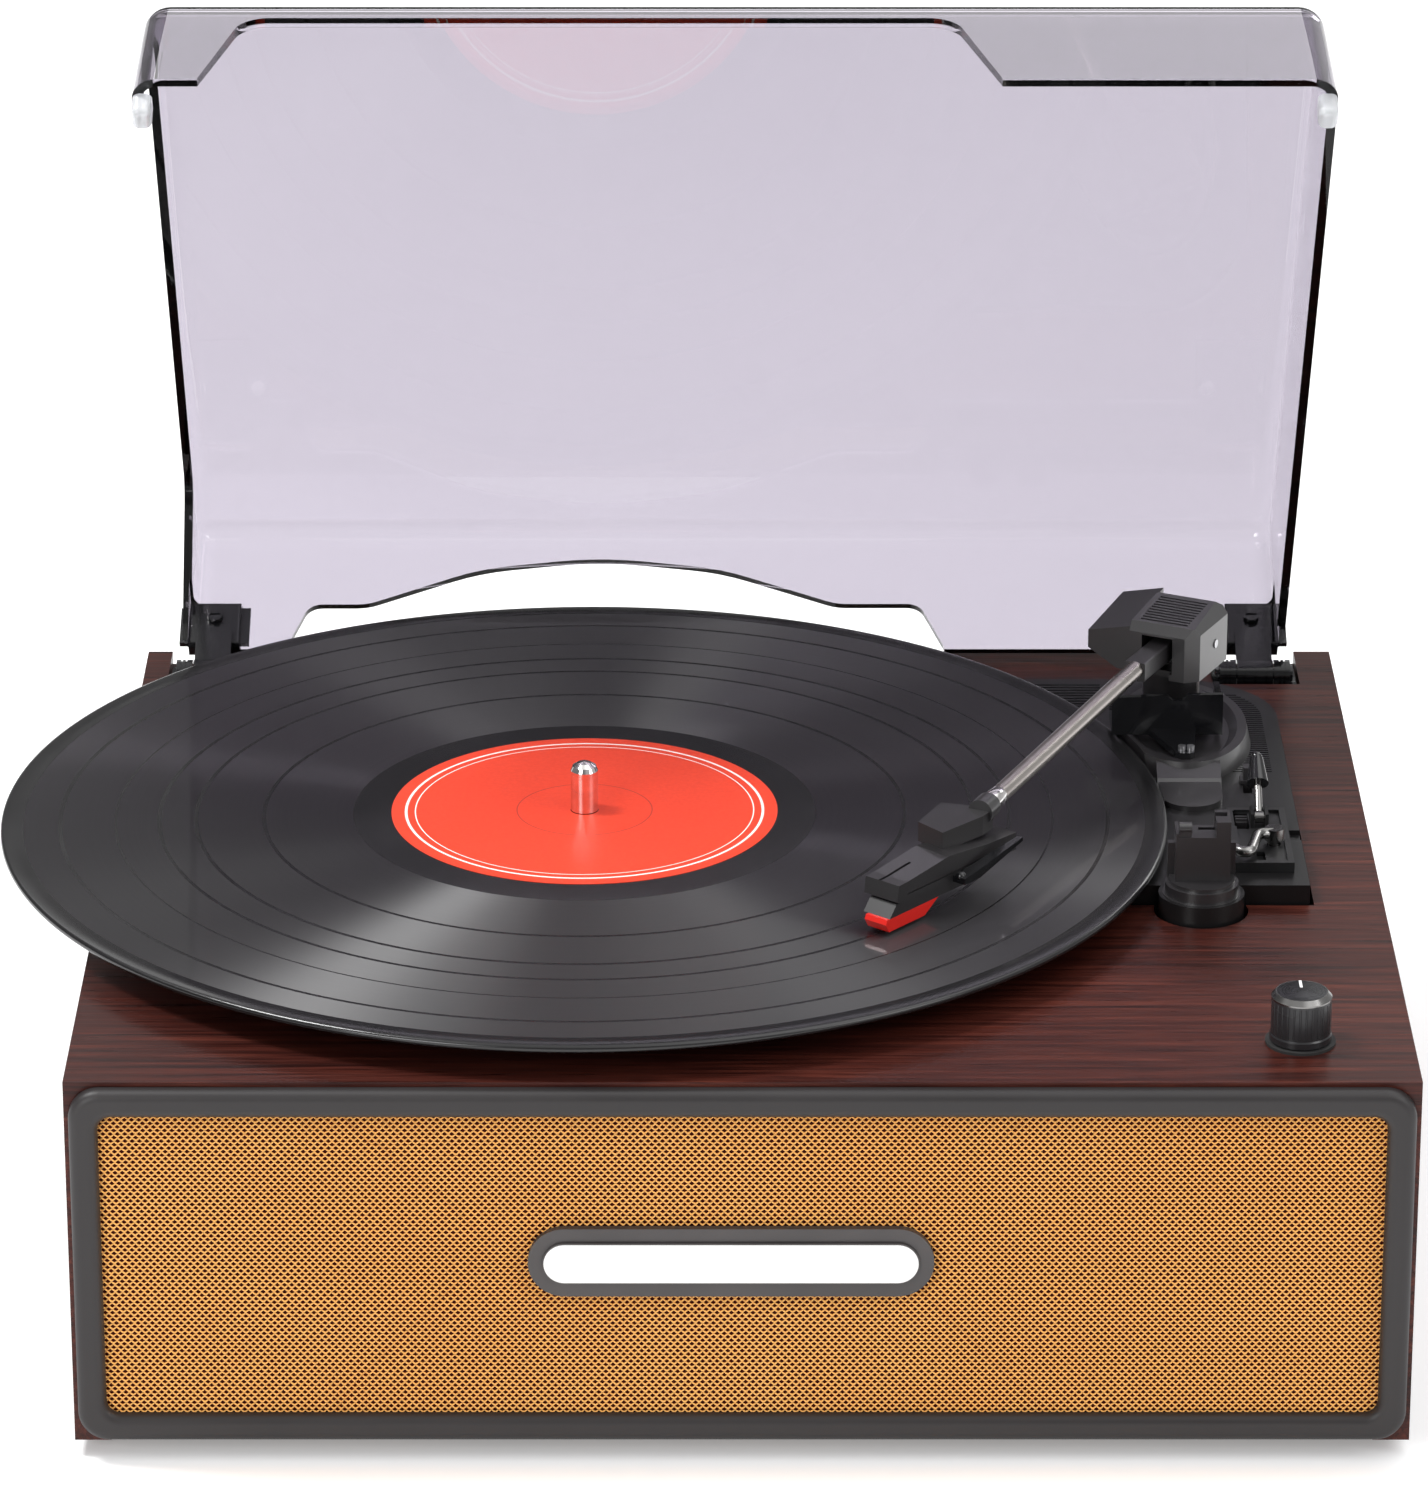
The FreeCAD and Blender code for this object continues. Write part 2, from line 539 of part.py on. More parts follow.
# relief that keeps the collar clear of the record's edge
arm_base = arm_base.cut(Part.makeCylinder(S.recordRadius + 0.8, 20, Vector(S.platterX, S.platterY, H + 6.2)))
node("arm_base", feature(arm_base.removeSplitter()))
node("arm_bush", cut(cy("6.55", AX, AY, "cabHeight-6", "20"), cy("4.06", AX, AY, "cabHeight-8", "30")))

# Shield in front of the pivot, its V-shaped lug and two small pins.
sh = Part.Face(Part.makePolygon([Vector(98.6, 56.6, deck_top + 5.2), Vector(128.0, 56.6, deck_top + 5.2), Vector(128.0, 56.6, H + 21.6), Vector(118.8, 56.6, H + 21.4), Vector(117.2, 56.6, H + 19.8), Vector(114.6, 56.6, H + 19.8),
                                Vector(113.0, 56.6, H + 21.2), Vector(98.6, 56.6, H + 20.6), Vector(98.6, 56.6, deck_top + 5.2)])).extrude(Vector(0, 1.6, 0))
side_r = Part.makeBox(1.6, 16.0, H + 19.0 - (deck_top + 5.2), Vector(126.4, 57.0, deck_top + 5.2))
side_l = Part.makeBox(1.6, 12.0, H + 19.0 - (deck_top + 5.2), Vector(98.6, 57.0, deck_top + 5.2))
lug = Part.Face(Part.makePolygon([Vector(108.0, 57.4, 0), Vector(114.6, 40.0, 0), Vector(116.2, 38.6, 0), Vector(118.4, 38.6, 0), Vector(119.6, 40.0, 0), Vector(121.0, 57.4, 0), Vector(108.0, 57.4, 0)]))
lug = prism(lug, deck_top + 5.25, deck_top + 7.0)
shield = sh.fuse([side_r, side_l, lug]).removeSplitter()
node("arm_shield", feature(shield))
SCREWS += [cy("1.0", "116.3", "41.2", "cabHeight+deckTop+7.0", "1.2"), cy("1.0", "118.6", "41.2", "cabHeight+deckTop+7.0", "1.2")]

# Arm rest: stepped round foot, flat post and two prongs.
RX, RY = "restX", "restY"
foot = fuse(cy("restRadius+0.6", RX, RY, "cabHeight+deckTop", "0.2"), cy("restRadius", RX, RY, "cabHeight+deckTop", "3.0"), cy("restRadius-0.9", RX, RY, "cabHeight+deckTop+2.9", "1.1"))
post = bx("restX-6.9", "restX+6.9", "restY-2.9", "restY+5.7", "cabHeight+deckTop+1", "cabHeight+21.0")
wing = bx("restX-8.6", "restX+8.6", "restY+2.4", "restY+4.4", "cabHeight+deckTop+1", "cabHeight+17.5")
prong = bx("restX+3.2", "restX+6.9", "restY-2.9", "restY+5.7", "cabHeight+20.5", "cabHeight+25.2")
stub_l = bx("restX-6.9", "restX-6.1", "restY-2.9", "restY+5.7", "cabHeight+20.5", "cabHeight+22.0")
slot = bx("restX-1.0", "restX+3.2", "restY+2.6", "restY+4.2", "cabHeight+19.6", "cabHeight+22")
pslot = bx("restX+2.8", "restX+6.2", "restY+1.4", "restY+4.0", "cabHeight+22.8", "cabHeight+26")
node("arm_rest", group(cut(fuse(foot, post, wing, prong, stub_l), slot, pslot), fuse(bx("restX-6.0", "restX-3.0", "restY-2.4", "restY+0.6", "cabHeight+20.9", "cabHeight+23.6"), cy("1.6", "restX-6.1", "restY-0.9", "cabHeight+22.9", "3.2", "X"))))

# Control panel: raised block with a sunken field, windows and two relief bars.
pz = "cabHeight+deckTop"
panel = bx("126.2", "141.2", "-26.2", "11.2", pz, pz + "+2.8")
panel = cut(panel, bx("128.0", "139.6", "-24.4", "9.6", pz + "+2.0", pz + "+4"), bx("127.6", "131.4", "-1.5", "9.0", pz + "-1", pz + "+4"), cy("1.85", "137.0", "-11.5", pz + "-1", "6"),
            bx("132.0", "134.2", "-23.4", "-17.0", pz + "+0.8", pz + "+4"))
bracket = fuse(bx("131.7", "132.6", "-1.0", "5.0", pz + "+1.9", pz + "+5.8"), bx("135.4", "136.3", "-1.0", "5.0", pz + "+1.9", pz + "+5.8"))
node("control_panel", fuse(panel, cut(bracket, cy("0.86", "130", "2.0", pz + "+3.9", "8", "X"))))

# ================================================================ inside the cabinet
speakers = ("-speakerX", "speakerX")
yb = "-" + D2 + "+9.4"
baskets, cones = [], []
for x in speakers:
    rim_ = cy("31", x, yb, "speakerZ", "1.6", "Y")
    cup = cone("28", "16", x, yb + "+1.5", "speakerZ", "17", "Y")
    hollow = cone("26.6", "14.6", x, yb + "-0.1", "speakerZ", "17.2", "Y")
    baskets.append(cut(fuse(rim_, cup), hollow, cy("26.4", x, yb + "-1", "speakerZ", "3", "Y")))
    cones.append(fuse(cut(cone("25.8", "8.0", x, yb + "-3.0", "speakerZ", "13", "Y"), cone("25.0", "7.2", x, yb + "-3.6", "speakerZ", "13.4", "Y")), cy("8.6", x, yb + "+7.5", "speakerZ", "1.6", "Y")))
    baskets.append(cy("22", x, yb + "+18.5", "speakerZ", "12", "Y"))
    for sx, sz in ((-21, -21), (21, -21), (-21, 21), (21, 21)):
        SCREWS.append(cy("1.9", x + "+%d" % sx, yb + "+1.6", "speakerZ+%d" % sz, "1.4", "Y"))
node("speaker_baskets", group(*baskets))
node("speaker_cones", group(*cones))

rear = D2 + "-backThick"
board = bx("56", "134", rear + "-62", rear + "-8", "17.0", "18.6")
chips = [bx("66", "78", rear + "-50", rear + "-38", "18.6", "24.6"), bx("88", "92", rear + "-50", rear + "-30", "18.6", "28.6"), cy("4", "104", rear + "-46", "18.6", "11"), cy("4", "114", rear + "-46", "18.6", "11"), cy("3", "122", rear + "-40", "18.6", "7")]
node("amplifier_board", group(fuse(board, *chips), *[cy("2.8", x, rear + y, "6", "11") for x in (60, 130) for y in ("-58", "-12")]))

# Rear connector plate with its sockets.
jack_x = ("72", "86", "100")
drill = [cy("4.6", x, D2 + "-4", "40", "8", "Y") for x in jack_x[:2]] + [cy("4.1", jack_x[2], D2 + "-4", "40", "8", "Y"), cy("5.1", "116", D2 + "-4", "40", "8", "Y")]
node("rear_jack_plate", cut(bx("58", "132", D2, D2 + "+1.6", "20", "60"), *drill, *[cy("1.6", x, D2 + "-4", z, "8", "Y") for x in ("62", "128") for z in ("24", "56")]))
SCREWS += [fuse(cy("2.9", x, D2 + "+1.6", z, "1.3", "Y"), cy("1.35", x, D2 + "+0.2", z, "1.6", "Y")) for x in ("62", "128") for z in ("24", "56")]
rcas = []
for x in jack_x[:2]:
    rcas.append(cut(fuse(cy("4.5", x, D2 + "-8", "40", "9.7", "Y"), cy("4.15", x, D2 + "+1", "40", "8.4", "Y")), cy("1.6", x, D2 + "+1.0", "40", "9", "Y")))
node("line_out_sockets", group(*rcas))
node("aux_in_socket", cut(fuse(cy("4.0", jack_x[2], D2 + "-10", "40", "12.0", "Y"), cy("4.9", jack_x[2], D2 + "+1.6", "40", "1.0", "Y")), cy("1.78", jack_x[2], D2 + "-9", "40", "14", "Y")))
node("power_inlet", fuse(cut(fuse(cy("5.0", "116", D2 + "-10", "40", "12.0", "Y"), cy("6.2", "116", D2 + "+1.6", "40", "1.0", "Y")), cy("2.8", "116", D2 + "-8", "40", "14", "Y")), cy("1.0", "116", D2 + "-9", "40", "9", "Y")))

# Volume control: potentiometer under the top board, its shaft inside the knob.
kz = "cabHeight-boardThick+3.0"
pot = fuse(cy("8.2", "knobX", "knobY", kz + "-12", "8.6"), cy("3.4", "knobX", "knobY", kz + "-3.5", "9.4"))
node("volume_potentiometer", cut(pot, cy("3.02", "knobX", "knobY", kz + "-6", "20")))
node("volume_washer", cut(cy("washerRadius", "knobX", "knobY", "cabHeight", "0.7"), cy("3.55", "knobX", "knobY", "cabHeight-1", "4")))

# ================================================================ volume knob
KZ = 0.0
b = turned("knob", [("0", "1.1"), ("knobRadius+0.25", "1.1"), ("knobRadius+0.25", "2.6"), ("knobRadius", "3.0"), ("knobRadius", "knobTall-1.2"), ("knobRadius-1.1", "knobTall"), ("0", "knobTall")])
knob = seat(b, "knobX", "knobY", "cabHeight")
flutes = [cy("0.32", S.knobX + 7.5 * math.cos(math.radians(a)), S.knobY + 7.5 * math.sin(math.radians(a)), "cabHeight+3.4", "knobTall-5.4") for a in range(0, 360, 12)]
mark = bx("knobX-0.55", "knobX+0.55", "knobY+2.2", "knobY+8", "cabHeight+knobTall-0.5", "cabHeight+knobTall+1")
shaft = cy("2.95", "knobX", "knobY", kz + "-5.6", "12")
node("volume_knob", fuse(cut(knob, *flutes, mark), shaft))

# ================================================================ control levers
lever_dir = Vector(0.03, 15.0, 11.6)
lever_dir.normalize()
base_pt = Vector(134.0, 2.0, H + S.deckTop + 3.9)
rod = Part.makeCylinder(1.05, 11.0, base_pt, lever_dir)
grip = Part.makeCone(2.9, 1.7, 7.6, base_pt + lever_dir * 10.0, lever_dir)
hub = Part.makeCylinder(1.6, 2.2, Vector(132.9, 2.0, H + S.deckTop + 3.9), Vector(1, 0, 0))
pin = Part.makeCylinder(0.8, 4.4, Vector(131.8, 2.0, H + S.deckTop + 3.9), Vector(1, 0, 0))
node("cue_lever", feature(hub.fuse([rod, pin]).removeSplitter()))
tip = Part.makeSphere(1.45, base_pt + lever_dir * 17.9).cut(grip)
node("cue_lever_grip", feature(Part.makeCompound([grip.cut(rod), tip])))

# Hook lever that swings over the parked arm: bent round bar on an upright pin.
hp = [Vector(137.0, -11.5, H + 9.9), Vector(132.6, -13.4, H + 10.6), Vector(129.4, -26.8, H + 9.9), Vector(124.6, -19.6, H + 10.3)]


def bent_bar(points, radius, bend):
    """Round bar of straight runs joined by tangent arcs."""
    edges, start = [], points[0]
    for i in range(1, len(points) - 1):
        p, a, b2 = points[i], points[i - 1], points[i + 1]
        u1, u2 = (a - p).normalize(), (b2 - p).normalize()
        half = u1.getAngle(u2) / 2
        reach = min(bend / math.tan(half), 0.45 * (a - p).Length, 0.45 * (b2 - p).Length)
        rad = reach * math.tan(half)
        q1, q2 = p + u1 * reach, p + u2 * reach
        centre = p + (u1 + u2).normalize() * (rad / math.sin(half))
        mid = centre + (p - centre).normalize() * rad
        edges.append(Part.LineSegment(start, q1).toShape())
        edges.append(Part.Arc(q1, mid, q2).toShape())
        start = q2
    edges.append(Part.LineSegment(start, points[-1]).toShape())
    wire = Part.Wire(edges)
    d = (points[1] - points[0]).normalize()
    ring = Part.Wire(Part.makeCircle(radius, points[0], d))
    return wire.makePipeShell([ring], True, True)


hook = bent_bar(hp, 1.45, 3.4).fuse([Part.makeSphere(1.45, hp[-1]), Part.makeCylinder(2.5, 3.2, Vector(137.0, -11.5, H + 8.2)), Part.makeCylinder(1.75, 9.0, Vector(137.0, -11.5, H - 0.6))])
node("arm_hook_lever", feature(hook.removeSplitter()))

# Speed selector in its window and the automatic-stop tab on the plate.
node("speed_switch", fuse(bx("128.0", "131.0", "1.2", "5.8", pz + "-4.0", pz + "+2.6"), bx("128.0", "131.0", "2.2", "2.9", pz + "+2.5", pz + "+3.2"), bx("128.0", "131.0", "3.9", "4.6", pz + "+2.5", pz + "+3.2")))
node("auto_stop_switch", fuse(bx("132.2", "134.0", "34.0", "37.4", pz + "-4.0", pz + "+4.6"), bx("131.4", "134.8", "33.4", "38.0", pz + "+0.4", pz + "+1.2")))
node("switch_bodies", group(cut(bx("125.6", "133.4", "-3.6", "11.2", pz + "-8.6", pz + "-2.9"), bx("127.6", "131.4", "-1.5", "9.0", pz + "-5.0", pz)),
                            cut(bx("129.5", "136.7", "26.0", "43.0", pz + "-8.6", pz + "-2.9"), bx("131.9", "134.3", "28.0", "41.0", pz + "-5.0", pz))))

# ================================================================ tonearm
# Local frame: x forward along the arm, y to its right, z up, origin where the swing axis meets the
# arm's level.
ARM = Placement(Vector(S.armX, S.armY, H + S.armAxisRise), Rotation(Vector(0, 0, 1), -(90 + S.armYaw)))


def arm_part(name, shape):
    s = shape.copy()
    s.Placement = ARM.multiply(s.Placement)
    return node(name, feature(s))


def ext(points, vec):
    pts = [Vector(*p) for p in points]
    return Part.Face(Part.makePolygon(pts + [pts[0]])).extrude(Vector(*vec))


# Housing: ribbed hood on the right, lower wing on the left, open in front and below for the arm.
hood = ext([(-11.2, -8.0, -7.2), (10.6, -8.0, -7.2), (10.6, -8.0, 5.2), (9.0, -8.0, 7.7), (-8.4, -8.0, 9.7), (-11.2, -8.0, 8.0)], (0, 19.2, 0))
hood = hood.cut(ext([(-12, 11.3, 5.6), (-12, 11.3, 10.5), (-12, 8.6, 10.5), (-12, 8.6, 9.9)], (30, 0, 0)))
hood = hood.cut(ext([(11, 7.8, -8), (11, 12, -8), (7.6, 12, -8), (7.6, 11.3, -8), (10.7, 7.8, -8)], (0, 0, 20)))


def section(x, pts):
    loop = [Vector(x, a, b) for a, b in pts]
    return Part.makePolygon(loop + [loop[0]])


wing_ = Part.makeLoft([section(-12.4, [(-7.9, -7.2), (-12.5, -7.2), (-19.6, -2.5), (-19.6, 6.6), (-7.9, 9.6)]),
                       section(8.0, [(-7.9, -7.2), (-12.5, -7.2), (-20.9, -2.5), (-20.9, 2.4), (-7.9, 5.6)])], True, True)
house = hood.fuse([wing_, Part.makeBox(19.0, 1.0, 12.0, Vector(-11.2, -8.4, -7.2))]).removeSplitter()
cavity = Part.makeBox(17.4, 8.8, 9.6, Vector(-6.6, -4.4, -5.0)).fuse(Part.makeBox(12.0, 8.8, 8.8, Vector(3.0, -4.4, -5.4)))
house = house.cut(cavity)
house = house.cut(Part.makeBox(3.0, 8.0, 10.5, Vector(8.4, -4.4, -7.3)))
for i in range(10):
    x = 7.4 - i * 1.5
    z = 7.7 + (9.0 - x) * (2.0 / 17.4)
    house = house.cut(Part.makeBox(0.7, 13.6, 2.0, Vector(x - 0.35, -6.2, z - 0.6)))
house = house.cut(Part.makeCylinder(1.26, 30, Vector(-3.0, -20, 0), Vector(0, 1, 0)).common(Part.makeBox(60, 13.2, 60, Vector(-30, -8.0, -30))).fuse(
    Part.makeCylinder(1.26, 8, Vector(-3.0, 4.0, 0), Vector(0, 1, 0))))
house = house.cut(Part.makeCylinder(2.2, 6, Vector(0, 0, -9)))
arm_part("arm_housing", house)
arm_part("arm_pivot_screws", Part.makeCompound([
    Part.makeCylinder(1.2, 5.6, Vector(-3.0, 5.4, 0), Vector(0, 1, 0)).fuse(Part.makeCone(0.0, 1.2, 1.4, Vector(-3.0, 4.1, 0), Vector(0, 1, 0))).fuse(Part.makeCylinder(1.15, 0.5, Vector(-3.0, 11.0, 0), Vector(0, 1, 0))),
    Part.makeCylinder(1.2, 2.4, Vector(-3.0, -7.8, 0), Vector(0, 1, 0)).fuse(Part.makeCone(1.2, 0.0, 1.4, Vector(-3.0, -5.5, 0), Vector(0, 1, 0)))]))
# Turret: hollow post below the housing, turning in the bush.
arm_part("arm_turret", Part.makeCylinder(7.6, S.armAxisRise - 7.2 - (S.deckTop + 10.6), Vector(0, 0, -(S.armAxisRise - S.deckTop - 10.6))).fuse(
    Part.makeCylinder(4.0, S.armAxisRise - S.deckTop + 4.0, Vector(0, 0, -(S.armAxisRise - S.deckTop) - 14.0))).cut(Part.makeCylinder(1.9, 80, Vector(0, 0, -70))))
arm_part("arm_lifter", Part.makeCylinder(1.5, 49.0 - 3.6, Vector(0, 0, -49.0)).fuse(Part.makeSphere(1.5, Vector(0, 0, -3.6))).cut(Part.makeBox(10, 10, 5, Vector(-5, -5, -2.95))))

# Arm: carrier block between the pivot screws, tube, coupling, headshell, cartridge and stylus.
carrier = Part.makeBox(31.5, 5.8, 5.2, Vector(-6.0, -2.9, -2.6))
carrier = carrier.makeFillet(0.5, [e for e in carrier.Edges if abs(e.Length - 31.5) < 0.01])
cups = Part.makeCylinder(2.5, 8.0, Vector(-3.0, -4.0, 0), Vector(0, 1, 0))
carrier = carrier.fuse(cups).cut(Part.makeCylinder(1.35, 1.5, Vector(-3.0, 4.05, 0), Vector(0, -1, 0)).fuse(Part.makeCylinder(1.35, 1.5, Vector(-3.0, -4.05, 0), Vector(0, 1, 0))))
arm_part("arm_carrier", carrier.removeSplitter())
t0, t1 = Vector(25.5, 0, 0.5), Vector(119.8, 0, -3.35)
td = (t1 - t0)
tube_len = td.Length
td.normalize()
arm_part("arm_tube", Part.makeCylinder(S.tubeRadius, tube_len, t0, td).cut(Part.makeCylinder(S.tubeRadius - 0.5, tube_len + 2, t0 - td * 1, td)))
collar_ = Part.makeCylinder(3.3, 5.4, t1, td)
box_ = ext([(124.6, -11.1, -8.2), (123.1, -1.4, -8.2), (123.1, 2.6, -8.2), (128.5, 2.2, -8.2), (143.0, -2.4, -8.2), (139.0, -10.9, -8.2)], (0, 0, 5.2))
coupling = collar_.fuse(box_).removeSplitter()
arm_part("arm_coupling", coupling)
HS = Placement(Vector(118.8, 2.8, 0), Rotation(Vector(0, 0, 1), -14.2))


def hs_part(name, shape):
    s = shape.copy()
    s.Placement = HS.multiply(s.Placement)
    return arm_part(name, s)


shell_ = ext([(0.4, -5.2, -9.3), (27.6, -5.2, -8.3), (47.6, -5.2, -9.0), (48.2, -5.2, -13.3), (46.0, -5.2, -14.0), (0.4, -5.2, -14.0)], (0, 10.6, 0))
shell_ = shell_.cut(ext([(-0.1, -5.3, -14.1), (6.0, -5.3, -14.1), (-0.1, -0.6, -14.1)], (0, 0, 8)))
shell_ = shell_.fuse(ext([(10.0, -5.2, -9.1), (27.6, -5.2, -7.2), (46.4, -5.2, -9.1), (27.6, -5.2, -9.4)], (0, 10.6, 0)))
shell_ = shell_.cut(Part.makeBox(19.0, 0.8, 1.6, Vector(28.6, -1.2, -9.6)))
shell_ = shell_.cut(Part.makeBox(30.0, 1.0, 0.5, Vector(14.0, 4.9, -12.4)))
into_shell = coupling.copy()
into_shell.Placement = HS.inverse().multiply(into_shell.Placement)
shell_ = shell_.cut(into_shell)
hs_part("headshell", Part.makeCompound([shell_.removeSplitter(), Part.makeCylinder(1.1, 1.0, Vector(10.0, 1.0, -15.0))]))


def block_section(x, y0, y1, z0, z1):
    loop = [Vector(x, y0, z0), Vector(x, y1, z0), Vector(x, y1, z1), Vector(x, y0, z1)]
    return Part.makePolygon(loop + [loop[0]])


leaf = Part.makeLoft([block_section(26.0, 5.4, 9.2, -14.6, -13.0), block_section(20.0, 6.0, 9.4, -14.4, -12.0), block_section(2.8, 7.8, 9.4, -9.8, -8.8)], True, True)
hs_part("finger_lift", Part.makeCompound([leaf.cut(shell_), Part.makeSphere(1.3, Vector(25.0, 7.2, -13.0)).cut(leaf)]))
cart = ext([(20.0, -3.6, -17.2), (50.4, -3.6, -17.2), (47.6, -3.6, -14.0), (20.0, -3.6, -14.0)], (0, 8.4, 0))
cart = cart.cut(Part.makeBox(6, 9, 1.2, Vector(19, -4.5, -17.3)))
hs_part("cartridge", cart)
red = ext([(31.0, -2.0, -17.2), (51.4, -2.0, -17.2), (51.9, -2.0, -18.4), (50.6, -2.0, -20.6), (36.5, -2.0, -20.6)], (0, 6.8, 0))
hs_part("stylus_holder", red)
hs_part("stylus_needle", Part.makeCone(0.5, 0.15, 0.6, Vector(46.0, 1.4, -20.6), Vector(0, 0, -1)))

# ================================================================ hinges and dust cover
HX = ("hingeX", "(2*coverMidX-hingeX)")
hz = "cabHeight+hingeRise"
bases, pins = [], []
for x in HX:
    strip = bx(x + "-11.4", x + "+11.4", "hingeY-6.6", "hingeY+9.5", "cabHeight-3.6", "cabHeight-1.4")
    window = bx(x + "-5.2", x + "+5.2", "hingeY-4.3", "hingeY+10", "cabHeight-4", "cabHeight")
    kn = [cy("3.7", x + "-9.6", "hingeY", hz, "4.4", "X"), cy("3.7", x + "+5.2", "hingeY", hz, "4.4", "X")]
    grooves = [cut(cy("4.2", x + d, "hingeY", hz, "0.5", "X"), cy("3.3", x + d, "hingeY", hz, "0.5", "X")) for d in ("-8.4", "-7.2", "+6.6", "+7.8")]
    bases.append(cut(fuse(cut(strip, window), *kn), *grooves, cy("1.5", x + "-15", "hingeY", hz, "30", "X"), cy("2.6", x + "+9.6", "hingeY", hz, "2.2", "X")))
    pins.append(fuse(cy("1.5", x + "-9.6", "hingeY", hz, "19.2", "X"), cy("2.3", x + "+9.6", "hingeY", hz, "0.8", "X")))
    SCREWS.append(cy("2.0", x + "-8.4", "hingeY+6.6", "cabHeight-1.4", "0.9"))
    SCREWS.append(cy("2.0", x + "+8.4", "hingeY+6.6", "cabHeight-1.4", "0.9"))
node("hinge_bases", group(*bases))
node("hinge_pins", group(*pins))
node("fastening_screws", group(*SCREWS))

# The cover is drawn closed, then turned open about the hinge axis, which is its rest position.
OPEN = Placement(Vector(0, 0, 0), Rotation(Vector(1, 0, 0), -S.coverOpen), Vector(0, S.hingeY, H + S.hingeRise))
yr, zr = S.coverRearY, H + S.coverRimRise
xl, xr = S.coverMidX - S.coverWidth / 2, S.coverMidX + S.coverWidth / 2
Lc, Dc, Wt = S.coverLength, S.coverDepth, S.coverWall


def cover_part(name, shape):
    s = shape.copy()
    s.Placement = OPEN.multiply(s.Placement)
    return node(name, feature(s))


def shell_block(inset, drop):
    """Solid block of the cover's outline, drawn in by an amount on every wall."""
    pts = [(yr - inset, zr - drop), (yr + S.coverLean - inset, zr + Dc - inset), (yr - Lc + S.coverSlant + inset * 1.1, zr + Dc - inset), (yr - Lc + inset * 1.1 - drop * 0.476, zr - drop)]
    face = Part.Face(Part.makePolygon([Vector(xl + inset, y, z) for y, z in pts + [pts[0]]]))
    block = face.extrude(Vector(S.coverWidth - 2 * inset, 0, 0))
    r = 7.0 - inset
    picks = []
    for e in block.Edges:
        bb = e.BoundBox
        if bb.ZMax - bb.ZMin < 1e-6 and abs(bb.ZMax - (zr - drop)) < 1e-6:
            continue          # the open rim stays sharp
        picks.append(e)
    return block.makeFillet(r, picks)


cover = shell_block(0.0, 0.0).cut(shell_block(Wt, 6.0))


def smooth_cut(points, radius):
    """Closed outline in the X-Z plane with every inner corner rounded."""
    pts = [Vector(x, 0, z) for x, z in points]
    n = len(pts)
    edges, first, last = [], None, None
    for i in range(n):
        p, a, b2 = pts[i], pts[i - 1], pts[(i + 1) % n]
        r = radius[i] if isinstance(radius, (list, tuple)) else radius
        if r <= 0:
            q1 = q2 = p
        else:
            u1, u2 = (a - p).normalize(), (b2 - p).normalize()
            half = u1.getAngle(u2) / 2
            reach = min(r / math.tan(half), 0.48 * (a - p).Length, 0.48 * (b2 - p).Length)
            rad = reach * math.tan(half)
            q1, q2 = p + u1 * reach, p + u2 * reach
            c = p + (u1 + u2).normalize() * (rad / math.sin(half))
            mid = c + (p - c).normalize() * rad
        if last is not None and (q1 - last).Length > 1e-6:
            edges.append(Part.LineSegment(last, q1).toShape())
        if first is None:
            first = q1
        if r > 0:
            edges.append(Part.Arc(q1, mid, q2).toShape())
        last = q2
    if (first - last).Length > 1e-6:
        edges.append(Part.LineSegment(last, first).toShape())
    return Part.Face(Part.Wire(edges))


# Front opening for the record, with S-shaped ends; rear arch; shallow left side; hinge notches.
front_cut = smooth_cut([(-136.6, zr - 9), (-136.6, zr + 0.2), (-127.4, zr + 37.4), (54.6, zr + 37.4), (65.6, zr + 0.2), (65.6, zr - 9)], [0, 9, 9, 9, 9, 0])
fc = front_cut.copy()
fc.translate(Vector(0, yr - Lc - 5, 0))
fc = fc.extrude(Vector(0, 42, 0)).common(Part.makeBox(400, 42, 39.0 + 12, Vector(-200, yr - Lc - 5, zr - 12)))
cover = cover.cut(fc)
arch = smooth_cut([(-124.8, zr - 9), (-124.8, zr + 1), (-119.0, zr + 17.2), (-103.0, zr + 17.2), (-72.0, zr + 31.0), (-38.5, zr + 35.6), (-5.0, zr + 31.0), (27.0, zr + 17.4), (50.0, zr + 17.4), (56.6, zr + 1), (56.6, zr - 9)], [0, 5, 5, 14, 60, 90, 60, 14, 5, 5, 0])
ac = arch.copy()
ac.translate(Vector(0, yr - 12, 0))
cover = cover.cut(ac.extrude(Vector(0, 26, 0)))
# left side wall: shallow between the front corner and the hinge corner
side = smooth_cut([(yr - Lc + 14.0, zr - 9), (yr - Lc + 14.0, zr + 10.0), (yr - Lc + 26.0, zr + 40.2), (yr - 24.0, zr + 40.2), (yr - 6.0, zr + 4.0), (yr - 6.0, zr - 9)], [0, 6, 9, 9, 6, 0])
side.rotate(Vector(0, 0, 0), Vector(0, 0, 1), 90)
side.translate(Vector(xl + 8, 0, 0))
cover = cover.cut(side.extrude(Vector(-16, 0, 0)))
for x in (S.hingeX, 2 * S.coverMidX - S.hingeX):
    cover = cover.cut(Part.makeBox(14.2, 22, 26.4, Vector(x - 7.1, yr - 12, zr - 10)))
cover_part("dust_cover", cover.removeSplitter())

